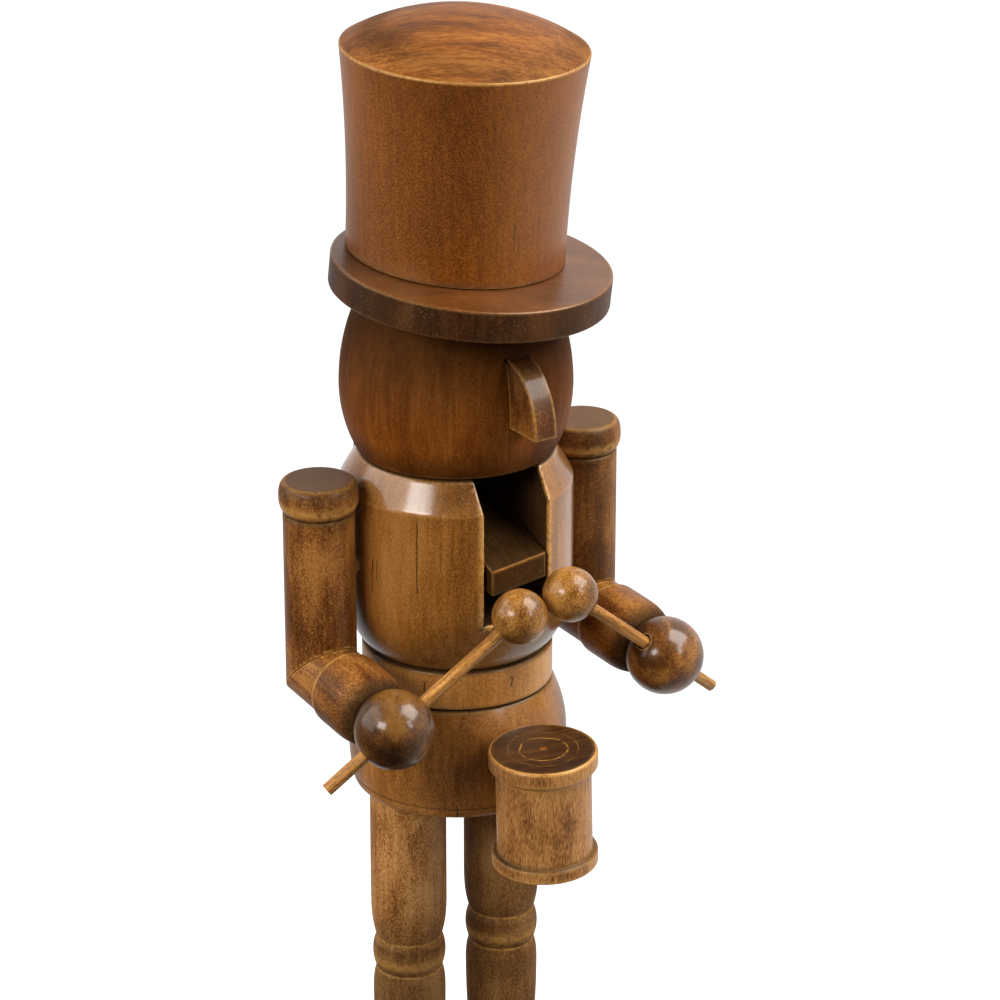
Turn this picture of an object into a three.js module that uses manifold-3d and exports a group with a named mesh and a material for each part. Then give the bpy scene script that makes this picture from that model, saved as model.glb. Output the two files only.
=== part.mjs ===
// Wooden nutcracker: a turned drummer figure whose jaw lever works in a slot through its torso.
// Millimetres, +Z up, facing -Y, with the origin at the centre of the base's underside.
import * as THREE from 'three';
import { mergeVertices } from 'three/addons/utils/BufferGeometryUtils.js';
import Module from 'manifold-3d';

// Clearances
const GLUE_LINE = 0.3; // between two pieces glued together
const DOWEL_FIT = 0.15; // round a dowel in its bore
const DOWEL_END_GAP = 0.5; // past a dowel's end in its bore
const STICK_FIT = 0.3; // round a drumstick in its hand
const PIVOT_FIT = 0.15; // round the jaw pin in the lever
const JAW_SIDE_PLAY = 0.8; // each side of the lever in the slot
const SHOULDER_GAP = 0.8; // between an upper arm and the torso
const HANDLE_GAP = 0.8; // between the torso's back and the closed lever's handle

// Base and feet
const BASE_RADIUS = 47;
const BASE_HEIGHT = 15;
const BASE_STEP_HEIGHT = 8;
const BASE_STEP_WIDTH = 5;
const FOOT_HEIGHT = 13;
const HEEL_RADIUS = 11.5;
const TOE_RADIUS = 12.5;
const FOOT_REACH = 18; // heel centre to toe centre
const FOOT_EDGE = 2.5; // rounding of the shoe's rims
const FOOT_GAP = 6.6; // between the two shoes

// Legs
const LEG_SETBACK = 1.6; // behind the figure's axis
const ANKLE_RADIUS = 8.6;
const SHIN_RADIUS = 10.45;
const SHIN_LENGTH = 44.1;
const KNEE_GROOVE_RADIUS = 9.4;
const KNEE_BEAD_RADIUS = 10.5;
const KNEE_BEAD_HEIGHT = 10.3;
const THIGH_RADIUS = 10.9;
const THIGH_LENGTH = 46.7;
const THIGH_ROUNDING = 12; // height over which the thigh draws in to the knee
const SHIN_ROUNDING = 7; // height over which the shin draws in to the knee

// Trunk
const HIPS_HEIGHT = 32.4;
const HIPS_RADIUS = 31;
const HIPS_TOP_RADIUS = 26.6;
const HIPS_FOOT_RADIUS = 30;
const HIPS_SWELL_HEIGHT = 15.4; // of the widest ring above the underside
const HIPS_EDGE = 3.6; // rounding of the lower rim
const BAND_RADIUS = 26.9;
const BAND_HEIGHT = 11.2;
const TORSO_RADIUS = 32.5;
const TORSO_HEIGHT = 57.3;
const TORSO_FOOT_RADIUS = 25.6;
const TORSO_ROUNDING = 24; // height over which the torso draws in to the waist
const CHAMFER_HEIGHT = 8.6; // of the shoulder's chamfer
const NECK_RADIUS = 27.5;
const SLOT_WIDTH = 20.7;
const SLOT_DEPTH = 41.6;

// Head and hat
const HEAD_RADIUS = 32.3;
const HEAD_HEIGHT = 46.8;
const HEAD_SWELL_HEIGHT = 18.7; // of the widest ring above the neck
const HEAD_UPPER_AXIS = 44; // half height of the ellipse above the widest ring
const NOSE_WIDTH = 7;
const NOSE_LENGTH = 14;
const NOSE_HEIGHT = 19;
const NOSE_RISE = 15.6; // of the nose's underside above the neck
const NOSE_SINK = 1.3; // of the nose's back edge inside the head's widest ring
const HAT_TILT = 4.2; // degrees, forward
const HAT_LEAN = 3.9; // degrees, towards the figure's left
const BRIM_RADIUS = 38.4;
const BRIM_THICKNESS = 8.7;
const BRIM_EDGE = 0.8;
const BRIM_FORWARD = 6.8; // ahead of the figure's axis
const CROWN_SETBACK = 1.7; // behind the figure's axis
const CROWN_TILT = 1.9; // degrees, back from square to the brim
const CROWN_LEAN = 2; // degrees, towards the figure's right from square to the brim
const CROWN_RADIUS = 30;
const CROWN_RIM_RADIUS = 33.8;
const CROWN_HEIGHT = 57.2;
const CROWN_DOME = 9.7;

// Jaw lever, in the open pose: the bar slopes down to the front
const PIVOT_SETBACK = 20; // behind the figure's axis
const PIVOT_DROP = 3; // below the shoulder's edge
const JAW_PIN_RADIUS = 2.5;
const JAW_PIN_RECESS = 1;
const JAW_SLOPE = 18.5; // degrees, of the bar's top face
const JAW_OPENING = 25; // degrees, from closed to this pose
const JAW_FRONT_HEIGHT = 7.3;
const JAW_FRONT_INSET = 0.5; // behind the torso's front
const JAW_OVER_PIN = 4.65; // wood above the pin's centre, square to the top face
const JAW_UNDER_PIN = 8.5; // wood below the pin's centre
const HANDLE_THICKNESS = 8;
const HANDLE_LENGTH = 59; // below the pin's centre
const HANDLE_TOP_WIDTH = 14.4;
const HANDLE_TIP_WIDTH = 12.6;
const HANDLE_BEND = 12; // of the bend behind the pin

// Arms, hands and drumsticks
const ARM_RADIUS = 9.9;
const ARM_SETBACK = 1.9;
const ARM_RISE = 6.9; // of the cap above the shoulder's edge
const CAP_RADIUS = 11;
const CAP_TOP_RADIUS = 8.8;
const CAP_HEIGHT = 9;
const CAP_GROOVE_RADIUS = 9.4;
const UPPER_ARM_LENGTH = 56.5; // cap to elbow centre
const FOREARM_LENGTH = 32.6; // elbow centre to wrist
const FOREARM_DROP = 3; // degrees below level
const FOREARM_SPLAY = 1.7; // degrees outwards
const CUFF_RADIUS = 10.8;
const CUFF_LENGTH = 19.6; // wrist to the cuff's edge
const CUFF_ROUNDING = 2; // of the cuff's edge
const WRIST_RADIUS = 8.2;
const WRIST_ROUNDING = 9;
const HAND_RADIUS = 11;
const HAND_FLAT_RADIUS = 7.9; // of the flat where the hand meets the wrist
const STICK_RADIUS = 1.9;
const RIGHT_STICK_RISE = 36.2; // degrees, from the hand up to the mallet
const LEFT_STICK_RISE = 38.8; // degrees, as above
const STICK_FORWARD = 9.7; // degrees, ahead of the straight line inwards
const STICK_TAIL = 24.4; // hand centre to the free end
const STICK_SEAT = 4.5; // of the stick inside the mallet
const MALLET_RADIUS = 7.6;
const MALLET_GAP = 1.2; // between the two mallets

// Drum
const DRUM_RADIUS = 13.3;
const DRUM_HEIGHT = 34.6;
const DRUM_TOP_RADIUS = 15.2;
const DRUM_TOP_FLANGE = 4.3;
const DRUM_FOOT_RADIUS = 14.8;
const DRUM_FOOT_FLANGE = 3.9;
const DRUM_EDGE = 0.5;
const DRUM_DROP = 5.4; // of the drum's top below the hips' top
const DRUM_GAP = 0.5; // between the drum's upper flange and the hips
const DRUM_OFFSET = -1.2; // towards the figure's right
const DRUM_TILT = 1.2; // degrees, forward
const DRUM_LEAN = -2.3; // degrees, towards the figure's right

// Dowels in the glued joints
const HAT_DOWEL_RADIUS = 5;
const HAT_DOWEL_DEPTH = 14; // into the head, and into the crown
const NECK_DOWEL_RADIUS = 3;
const NECK_DOWEL_LENGTH = 26;
const NECK_DOWEL_SPACING = 37;
const WAIST_DOWEL_RADIUS = 6;
const WAIST_DOWEL_DEPTH = 13; // into the hips
const WAIST_DOWEL_COVER = 4; // wood left under the slot's floor
const SHOULDER_DOWEL_RADIUS = 3;
const SHOULDER_DOWEL_DEPTH = 10; // into the torso, and into the arm
const SHOULDER_DOWEL_DROP = 20; // below the shoulder's edge
const ELBOW_DOWEL_RADIUS = 2.5;
const ELBOW_DOWEL_LENGTH = 17;
const WRIST_DOWEL_RADIUS = 2;
const WRIST_DOWEL_LENGTH = 8;
const DRUM_DOWEL_RADIUS = 3;
const DRUM_DOWEL_LENGTH = 18;
const DRUM_DOWEL_DROP = 12; // below the drum's top
const HIP_DOWEL_RADIUS = 4;
const HIP_DOWEL_LENGTH = 26;
const ANKLE_DOWEL_RADIUS = 4;
const ANKLE_DOWEL_DEPTH = 14; // into the leg
const ANKLE_DOWEL_COVER = 5; // wood left under it in the base

// Roundings: the share of their height at which the curve's corner lies
const ROUND_CORNER = 1 / 3;
const TORSO_CORNER = 1 / 4;

// Facets
const TRUNK_SIDES = 36;
const LIMB_SIDES = 24;
const BALL_SIDES = 20;
const DOWEL_SIDES = 12;
const STICK_SIDES = 8;
const CURVE_STEPS = 4;
const WELD = 1e-4;
const REACH = 400; // of a cutter that has to pass right through

// Heights of the stack, from the floor up
const footBottom = BASE_HEIGHT + GLUE_LINE;
const legBottom = footBottom + FOOT_HEIGHT + GLUE_LINE;
const legLength = SHIN_LENGTH + KNEE_BEAD_HEIGHT + THIGH_LENGTH;
const hipsBottom = legBottom + legLength + GLUE_LINE;
const hipsTop = hipsBottom + HIPS_HEIGHT;
const bandBottom = hipsTop + GLUE_LINE;
const torsoBottom = bandBottom + BAND_HEIGHT + GLUE_LINE;
const torsoTop = torsoBottom + TORSO_HEIGHT;
const shoulderEdge = torsoTop - CHAMFER_HEIGHT;
const headBottom = torsoTop + GLUE_LINE;
const headTop = headBottom + HEAD_HEIGHT;

// Places beside the axis
const legX = TOE_RADIUS + FOOT_GAP / 2;
const armX = TORSO_RADIUS + SHOULDER_GAP + ARM_RADIUS;
const elbowHeight = shoulderEdge + ARM_RISE - UPPER_ARM_LENGTH;
const pivotHeight = shoulderEdge - PIVOT_DROP;
const SIDES = [['right', -1], ['left', 1]];

const wasm = await Module();
wasm.setup();
const rad = THREE.MathUtils.degToRad;

// The bare closed surface of a geometry, its shared corners merged and its empty triangles left out.
function closed(geometry) {
  const bare = new THREE.BufferGeometry();
  bare.setAttribute('position', geometry.getAttribute('position'));
  bare.setIndex(geometry.getIndex());
  const surface = mergeVertices(bare, WELD);
  const corners = surface.getIndex().array;
  const kept = [];
  for (let i = 0; i < corners.length; i += 3) {
    const [a, b, c] = corners.subarray(i, i + 3);
    if (a !== b && b !== c && c !== a) kept.push(a, b, c);
  }
  return surface.setIndex(kept);
}

function solidOf(surface) {
  return new wasm.Manifold(new wasm.Mesh({
    numProp: 3,
    vertProperties: surface.getAttribute('position').array,
    triVerts: Uint32Array.from(surface.getIndex().array),
  }));
}

function geometryOf(solid) {
  const mesh = solid.getMesh();
  const geometry = new THREE.BufferGeometry();
  geometry.setAttribute('position', new THREE.BufferAttribute(mesh.vertProperties, 3));
  geometry.setIndex(new THREE.BufferAttribute(mesh.triVerts, 1));
  geometry.computeVertexNormals();
  return geometry;
}

function cut(geometry, ...cutters) {
  const solid = cutters.reduce((left, cutter) => left.subtract(solidOf(cutter)), solidOf(geometry));
  return geometryOf(solid);
}

// A turned piece: a profile of (radius, height), from the axis below to the axis above.
function turned(profile, sides) {
  return closed(new THREE.LatheGeometry(profile.getPoints(CURVE_STEPS), sides)).rotateX(Math.PI / 2);
}

// An outline given a thickness along Z, its rims square or rounded.
function thick(outline, depth, rim = { bevelEnabled: false }) {
  return closed(new THREE.ExtrudeGeometry(outline, { depth, curveSegments: CURVE_STEPS, ...rim }));
}

// A sawn piece: an outline of (y, z), with its width across the figure.
function sawn(outline, width) {
  const outlineToSide = new THREE.Matrix4().set(0, 0, 1, -width / 2, 1, 0, 0, 0, 0, 1, 0, 0, 0, 0, 0, 1);
  return thick(outline, width).applyMatrix4(outlineToSide);
}

// A round rod along Z, centred on the origin.
function rod(radius, length, sides = DOWEL_SIDES) {
  return closed(new THREE.CylinderGeometry(radius, radius, length, sides)).rotateX(Math.PI / 2);
}

// The bore for a dowel of this size, in both of the pieces that it joins.
function bore(radius, length) {
  return rod(radius + DOWEL_FIT, length + 2 * DOWEL_END_GAP);
}

function block(width, depth, height) {
  return closed(new THREE.BoxGeometry(width, depth, height));
}

// Half of space, above or below a level plane through the origin.
function halfSpace(side) {
  return block(REACH, REACH, REACH).translate(0, 0, side * REACH / 2);
}

function moved(geometry, matrix) {
  return geometry.clone().applyMatrix4(matrix);
}

function place(x, y, z, turnX = 0, turnY = 0, turnZ = 0) {
  const turn = new THREE.Quaternion().setFromEuler(new THREE.Euler(turnX, turnY, turnZ));
  return new THREE.Matrix4().compose(new THREE.Vector3(x, y, z), turn, new THREE.Vector3(1, 1, 1));
}

function groupAt(matrix) {
  const group = new THREE.Group();
  group.applyMatrix4(matrix);
  return group;
}

// Stained finishes
const FINISH = {
  crown: { color: '#8a5a2b', roughness: 0.4 },
  brim: { color: '#74451f', roughness: 0.45 },
  head: { color: '#7a4a20', roughness: 0.4 },
  torso: { color: '#80501f', roughness: 0.4 },
  arm: { color: '#6f431d', roughness: 0.45 },
  ball: { color: '#5f3818', roughness: 0.3 },
  reed: { color: '#b07a34', roughness: 0.5 },
  jaw: { color: '#4a351c', roughness: 0.6 },
  pale: { color: '#86592f', roughness: 0.5 },
  bare: { color: '#c9a26b', roughness: 0.8 },
};

function piece(name, geometry, finish, matrix) {
  const mesh = new THREE.Mesh(geometry, new THREE.MeshStandardMaterial({ ...finish, metalness: 0 }));
  mesh.name = name;
  if (matrix) mesh.applyMatrix4(matrix);
  return mesh;
}

const nutcracker = new THREE.Group();

// Base: a turned plinth with a coved step under its top.
const ankleDowelLow = ANKLE_DOWEL_COVER + DOWEL_END_GAP;
const ankleDowelLength = legBottom + ANKLE_DOWEL_DEPTH - ankleDowelLow;
const ankleDowelPlace = (side) => place(side * legX, LEG_SETBACK, ankleDowelLow + ankleDowelLength / 2);
const ankleBores = SIDES.map(([, side]) => moved(
  bore(ANKLE_DOWEL_RADIUS, ankleDowelLength),
  ankleDowelPlace(side),
));

function makeBase() {
  const topRadius = BASE_RADIUS - BASE_STEP_WIDTH;
  const profile = new THREE.Path()
    .moveTo(0, 0)
    .lineTo(BASE_RADIUS, 0)
    .lineTo(BASE_RADIUS, BASE_STEP_HEIGHT)
    .quadraticCurveTo(topRadius, BASE_STEP_HEIGHT, topRadius, BASE_HEIGHT)
    .lineTo(0, BASE_HEIGHT);
  return cut(turned(profile, TRUNK_SIDES), ...ankleBores);
}

nutcracker.add(piece('base', makeBase(), FINISH.torso));

// Shoes: an outline of two arcs, wider at the toe, with rounded rims.
function makeFoot(side) {
  const outline = new THREE.Shape()
    .absarc(0, 0, HEEL_RADIUS - FOOT_EDGE, 0, Math.PI, false)
    .absarc(0, -FOOT_REACH, TOE_RADIUS - FOOT_EDGE, Math.PI, 2 * Math.PI, false);
  const rim = { bevelThickness: FOOT_EDGE, bevelSize: FOOT_EDGE, bevelSegments: 2 };
  const blank = thick(outline, FOOT_HEIGHT - 2 * FOOT_EDGE, rim)
    .translate(side * legX, LEG_SETBACK, footBottom + FOOT_EDGE);
  return cut(blank, ...ankleBores);
}

// Legs: shin, knee bead and thigh, turned in one piece and bored at both ends.
const hipDowelPlace = (side) => place(side * legX, LEG_SETBACK, hipsBottom);
const hipBores = SIDES.map(([, side]) => moved(
  bore(HIP_DOWEL_RADIUS, HIP_DOWEL_LENGTH),
  hipDowelPlace(side),
));

function makeLeg(side) {
  const beadTop = SHIN_LENGTH + KNEE_BEAD_HEIGHT;
  const beadBulge = 2 * KNEE_BEAD_RADIUS - KNEE_GROOVE_RADIUS;
  const shinCorner = SHIN_LENGTH - ROUND_CORNER * SHIN_ROUNDING;
  const thighCorner = beadTop + ROUND_CORNER * THIGH_ROUNDING;
  const profile = new THREE.Path()
    .moveTo(0, 0)
    .lineTo(ANKLE_RADIUS, 0)
    .quadraticCurveTo(SHIN_RADIUS, SHIN_LENGTH / 2, SHIN_RADIUS, SHIN_LENGTH - SHIN_ROUNDING)
    .quadraticCurveTo(SHIN_RADIUS, shinCorner, KNEE_GROOVE_RADIUS, SHIN_LENGTH)
    .quadraticCurveTo(beadBulge, SHIN_LENGTH + KNEE_BEAD_HEIGHT / 2, KNEE_GROOVE_RADIUS, beadTop)
    .quadraticCurveTo(THIGH_RADIUS, thighCorner, THIGH_RADIUS, beadTop + THIGH_ROUNDING)
    .lineTo(THIGH_RADIUS, legLength)
    .lineTo(0, legLength);
  const blank = turned(profile, LIMB_SIDES).translate(side * legX, LEG_SETBACK, legBottom);
  return cut(blank, ...ankleBores, ...hipBores);
}

for (const [name, side] of SIDES) {
  nutcracker.add(piece(`${name}_foot`, makeFoot(side), FINISH.torso));
  nutcracker.add(piece(`${name}_leg`, makeLeg(side), FINISH.pale));
  const ankleDowel = rod(ANKLE_DOWEL_RADIUS, ankleDowelLength);
  nutcracker.add(piece(`${name}_ankle_dowel`, ankleDowel, FINISH.bare, ankleDowelPlace(side)));
  const hipDowel = rod(HIP_DOWEL_RADIUS, HIP_DOWEL_LENGTH);
  nutcracker.add(piece(`${name}_hip_dowel`, hipDowel, FINISH.bare, hipDowelPlace(side)));
}

// The hips' side above their widest ring, as (radius, height).
const hipsShoulder = new THREE.QuadraticBezierCurve(
  new THREE.Vector2(HIPS_RADIUS, HIPS_SWELL_HEIGHT),
  new THREE.Vector2(HIPS_RADIUS, (HIPS_SWELL_HEIGHT + HIPS_HEIGHT) / 2),
  new THREE.Vector2(HIPS_TOP_RADIUS, HIPS_HEIGHT),
);

// Drum: one turned bobbin whose upper flange meets the hips, held there by a dowel.
const flangeHeight = HIPS_HEIGHT - DRUM_DROP - DRUM_TOP_FLANGE;
const flangeShare = (flangeHeight - HIPS_SWELL_HEIGHT) / (HIPS_HEIGHT - HIPS_SWELL_HEIGHT);
const drumAxisY = -(hipsShoulder.getPoint(flangeShare).x + DRUM_GAP + DRUM_TOP_RADIUS);
const drumPlace = place(DRUM_OFFSET, drumAxisY, hipsTop - DRUM_DROP, rad(DRUM_TILT), rad(DRUM_LEAN));
const drumDowelPlace = place(0, DRUM_RADIUS, -DRUM_DOWEL_DROP, Math.PI / 2);
const drumBore = moved(bore(DRUM_DOWEL_RADIUS, DRUM_DOWEL_LENGTH), drumDowelPlace);

function makeDrum() {
  const footTop = -DRUM_HEIGHT + DRUM_FOOT_FLANGE;
  const profile = new THREE.Path()
    .moveTo(0, -DRUM_HEIGHT)
    .lineTo(DRUM_FOOT_RADIUS, -DRUM_HEIGHT)
    .lineTo(DRUM_FOOT_RADIUS, footTop - DRUM_EDGE)
    .lineTo(DRUM_FOOT_RADIUS - DRUM_EDGE, footTop)
    .lineTo(DRUM_RADIUS, footTop)
    .lineTo(DRUM_RADIUS, -DRUM_TOP_FLANGE - DRUM_TOP_RADIUS + DRUM_RADIUS)
    .lineTo(DRUM_TOP_RADIUS, -DRUM_TOP_FLANGE)
    .lineTo(DRUM_TOP_RADIUS, -DRUM_EDGE)
    .lineTo(DRUM_TOP_RADIUS - DRUM_EDGE, 0)
    .lineTo(0, 0);
  return cut(turned(profile, LIMB_SIDES), drumBore);
}

const drumGroup = groupAt(drumPlace);
drumGroup.add(piece('drum', makeDrum(), FINISH.pale));
const drumDowel = rod(DRUM_DOWEL_RADIUS, DRUM_DOWEL_LENGTH);
drumGroup.add(piece('drum_dowel', drumDowel, FINISH.bare, drumDowelPlace));
nutcracker.add(drumGroup);

// Hips, waist band and torso, on one dowel up the middle.
const waistDowelLow = hipsTop - WAIST_DOWEL_DEPTH;
const waistDowelHigh = torsoTop - SLOT_DEPTH - WAIST_DOWEL_COVER;
const waistDowelLength = waistDowelHigh - waistDowelLow;
const waistDowelPlace = place(0, 0, (waistDowelLow + waistDowelHigh) / 2);
const waistBore = moved(bore(WAIST_DOWEL_RADIUS, waistDowelLength), waistDowelPlace);

function makeHips() {
  const profile = new THREE.Path()
    .moveTo(0, 0)
    .lineTo(HIPS_FOOT_RADIUS - HIPS_EDGE, 0)
    .quadraticCurveTo(HIPS_FOOT_RADIUS, 0, HIPS_FOOT_RADIUS, HIPS_EDGE)
    .quadraticCurveTo(HIPS_RADIUS, HIPS_SWELL_HEIGHT / 2, HIPS_RADIUS, HIPS_SWELL_HEIGHT);
  profile.curves.push(hipsShoulder);
  profile.currentPoint.copy(hipsShoulder.v2);
  profile.lineTo(0, HIPS_HEIGHT);
  const blank = turned(profile, TRUNK_SIDES).translate(0, 0, hipsBottom);
  return cut(blank, waistBore, ...hipBores, moved(drumBore, drumPlace));
}

function makeBand() {
  const profile = new THREE.Path()
    .moveTo(0, 0)
    .lineTo(BAND_RADIUS, 0)
    .lineTo(BAND_RADIUS, BAND_HEIGHT)
    .lineTo(0, BAND_HEIGHT);
  return cut(turned(profile, TRUNK_SIDES).translate(0, 0, bandBottom), waistBore);
}

nutcracker.add(piece('hips', makeHips(), FINISH.pale));
nutcracker.add(piece('waist_band', makeBand(), FINISH.torso));
const waistDowel = rod(WAIST_DOWEL_RADIUS, waistDowelLength);
nutcracker.add(piece('waist_dowel', waistDowel, FINISH.bare, waistDowelPlace));

// Arms: each is a group with its origin at the elbow's centre, turned so that the forearms splay.
// The elbow is a mitre across the line that halves the angle between the upper arm and the forearm.
const armPlace = (side) => place(side * armX, ARM_SETBACK, elbowHeight, 0, 0, side * rad(FOREARM_SPLAY));
const forearmTurn = Math.PI / 2 + rad(FOREARM_DROP);
const mitreTurn = -(Math.PI / 2 - rad(FOREARM_DROP)) / 2;
const mitre = place(0, 0, 0, mitreTurn);
const mitreWaste = 2 * ARM_RADIUS;
const forearmPlace = place(0, 0, 0, forearmTurn);
const elbowBore = moved(bore(ELBOW_DOWEL_RADIUS, ELBOW_DOWEL_LENGTH), mitre);
const shoulderDowelHeight = shoulderEdge - SHOULDER_DOWEL_DROP - elbowHeight;
const shoulderDowelLength = SHOULDER_GAP + 2 * SHOULDER_DOWEL_DEPTH;
const shoulderDowelPlace = (side) => place(
  -side * (ARM_RADIUS + SHOULDER_GAP / 2), 0, shoulderDowelHeight, 0, Math.PI / 2,
);
const shoulderBore = (side) => moved(
  bore(SHOULDER_DOWEL_RADIUS, shoulderDowelLength),
  shoulderDowelPlace(side),
);

function makeUpperArm(side) {
  const capBottom = UPPER_ARM_LENGTH - CAP_HEIGHT;
  const capMiddle = capBottom + CAP_HEIGHT / 2;
  const profile = new THREE.Path()
    .moveTo(0, -mitreWaste)
    .lineTo(ARM_RADIUS, -mitreWaste)
    .lineTo(ARM_RADIUS, capBottom - (ARM_RADIUS - CAP_GROOVE_RADIUS))
    .lineTo(CAP_GROOVE_RADIUS, capBottom)
    .quadraticCurveTo(CAP_RADIUS, capBottom + ROUND_CORNER * CAP_HEIGHT / 2, CAP_RADIUS, capMiddle)
    .quadraticCurveTo(CAP_RADIUS, UPPER_ARM_LENGTH, CAP_TOP_RADIUS, UPPER_ARM_LENGTH)
    .lineTo(0, UPPER_ARM_LENGTH);
  const saw = moved(halfSpace(-1).translate(0, 0, GLUE_LINE / 2), mitre);
  return cut(turned(profile, LIMB_SIDES), saw, elbowBore, shoulderBore(side));
}

// The hand's flat meets the wrist, and the drumstick runs through the hand's centre.
const handFlat = Math.sqrt(HAND_RADIUS ** 2 - HAND_FLAT_RADIUS ** 2);
const handCentre = FOREARM_LENGTH + GLUE_LINE + handFlat;
const wristBore = bore(WRIST_DOWEL_RADIUS, WRIST_DOWEL_LENGTH);

function makeForearm() {
  const cuffEdge = FOREARM_LENGTH - CUFF_LENGTH;
  const wristCorner = FOREARM_LENGTH - ROUND_CORNER * WRIST_ROUNDING;
  const profile = new THREE.Path()
    .moveTo(0, -mitreWaste)
    .lineTo(ARM_RADIUS, -mitreWaste)
    .lineTo(ARM_RADIUS, cuffEdge)
    .quadraticCurveTo(CUFF_RADIUS, cuffEdge, CUFF_RADIUS, cuffEdge + CUFF_ROUNDING)
    .lineTo(CUFF_RADIUS, FOREARM_LENGTH - WRIST_ROUNDING)
    .quadraticCurveTo(CUFF_RADIUS, wristCorner, WRIST_RADIUS, FOREARM_LENGTH)
    .lineTo(0, FOREARM_LENGTH);
  const blank = cut(turned(profile, LIMB_SIDES), wristBore.clone().translate(0, 0, FOREARM_LENGTH));
  const saw = moved(halfSpace(1).translate(0, 0, -GLUE_LINE / 2), mitre);
  return cut(moved(blank, forearmPlace), saw, elbowBore);
}

const handInArm = forearmPlace.clone().multiply(place(0, 0, handCentre));
const handPlace = (side) => armPlace(side).multiply(handInArm);
const handPoint = (side) => new THREE.Vector3().setFromMatrixPosition(handPlace(side));

// The way that a drumstick points, from its hand to its mallet.
function stickWay(side) {
  const rise = rad(side < 0 ? RIGHT_STICK_RISE : LEFT_STICK_RISE);
  const inward = Math.cos(rise) * Math.cos(rad(STICK_FORWARD));
  const ahead = Math.cos(rise) * Math.sin(rad(STICK_FORWARD));
  return new THREE.Vector3(-side * inward, -ahead, Math.sin(rise));
}

function stickPlace(side) {
  const turn = new THREE.Quaternion().setFromUnitVectors(new THREE.Vector3(0, 0, 1), stickWay(side));
  return new THREE.Matrix4().compose(handPoint(side), turn, new THREE.Vector3(1, 1, 1));
}

function ball(radius, sides, flatHeight) {
  const flatAngle = Math.asin(flatHeight / radius);
  const profile = new THREE.Path()
    .moveTo(0, flatHeight)
    .lineTo(radius * Math.cos(flatAngle), flatHeight)
    .absarc(0, 0, radius, flatAngle, Math.PI / 2, false);
  return turned(profile, sides);
}

function makeHand(side) {
  const blank = ball(HAND_RADIUS, BALL_SIDES, -handFlat);
  const wrist = wristBore.clone().translate(0, 0, -handFlat - GLUE_LINE);
  const toHand = handPlace(side).invert().multiply(stickPlace(side));
  const stickHole = moved(rod(STICK_RADIUS + STICK_FIT, REACH, STICK_SIDES), toHand);
  return cut(blank, wrist, stickHole);
}

// The stick lies along Z from its free end to its seat in the mallet, with the hand at zero. It
// reaches as far as lets the two mallets hang side by side in front of the figure.
function malletReach(side) {
  const inward = Math.abs(handPoint(side).x) - MALLET_RADIUS - MALLET_GAP / 2;
  return inward / Math.abs(stickWay(side).x);
}

function makeStick(side) {
  const top = malletReach(side) - MALLET_RADIUS + STICK_SEAT;
  return rod(STICK_RADIUS, STICK_TAIL + top, STICK_SIDES).translate(0, 0, (top - STICK_TAIL) / 2);
}

function makeMallet() {
  const seatLength = STICK_SEAT + DOWEL_END_GAP;
  const seat = rod(STICK_RADIUS + DOWEL_FIT, 2 * seatLength, STICK_SIDES).translate(0, 0, -MALLET_RADIUS);
  return cut(ball(MALLET_RADIUS, BALL_SIDES, -MALLET_RADIUS), seat);
}

for (const [name, side] of SIDES) {
  const arm = groupAt(armPlace(side));
  arm.add(piece(`${name}_upper_arm`, makeUpperArm(side), FINISH.arm));
  arm.add(piece(`${name}_forearm`, makeForearm(), FINISH.arm));
  arm.add(piece(`${name}_hand`, makeHand(side), FINISH.ball, handInArm));
  const shoulderDowel = rod(SHOULDER_DOWEL_RADIUS, shoulderDowelLength);
  arm.add(piece(`${name}_shoulder_dowel`, shoulderDowel, FINISH.bare, shoulderDowelPlace(side)));
  const elbowDowel = rod(ELBOW_DOWEL_RADIUS, ELBOW_DOWEL_LENGTH);
  arm.add(piece(`${name}_elbow_dowel`, elbowDowel, FINISH.bare, mitre));
  const wristDowel = rod(WRIST_DOWEL_RADIUS, WRIST_DOWEL_LENGTH).translate(0, 0, FOREARM_LENGTH);
  arm.add(piece(`${name}_wrist_dowel`, wristDowel, FINISH.bare, forearmPlace));
  nutcracker.add(arm);
  const drumming = groupAt(stickPlace(side));
  drumming.add(piece(`${name}_drumstick`, makeStick(side), FINISH.reed));
  drumming.add(piece(`${name}_mallet`, makeMallet(), FINISH.ball, place(0, 0, malletReach(side))));
  nutcracker.add(drumming);
}

// Torso: a barrel with a chamfered shoulder, its slot sawn through from front to back.
const neckDowelPlace = (side) => place(side * NECK_DOWEL_SPACING / 2, 0, headBottom);
const neckBores = SIDES.map(([, side]) => moved(
  bore(NECK_DOWEL_RADIUS, NECK_DOWEL_LENGTH),
  neckDowelPlace(side),
));
const jawPinPlace = place(0, PIVOT_SETBACK, pivotHeight, 0, Math.PI / 2);

function makeTorso() {
  const profile = new THREE.Path()
    .moveTo(0, 0)
    .lineTo(TORSO_FOOT_RADIUS, 0)
    .quadraticCurveTo(TORSO_RADIUS, TORSO_CORNER * TORSO_ROUNDING, TORSO_RADIUS, TORSO_ROUNDING)
    .lineTo(TORSO_RADIUS, TORSO_HEIGHT - CHAMFER_HEIGHT)
    .lineTo(NECK_RADIUS, TORSO_HEIGHT)
    .lineTo(0, TORSO_HEIGHT);
  const slot = block(SLOT_WIDTH, REACH, 2 * SLOT_DEPTH).translate(0, 0, torsoTop);
  const pinHole = moved(rod(JAW_PIN_RADIUS + DOWEL_FIT, REACH), jawPinPlace);
  const shoulderBores = SIDES.map(([, side]) => moved(shoulderBore(side), armPlace(side)));
  const blank = turned(profile, TRUNK_SIDES).translate(0, 0, torsoBottom);
  return cut(blank, slot, pinHole, waistBore, ...neckBores, ...shoulderBores);
}

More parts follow.
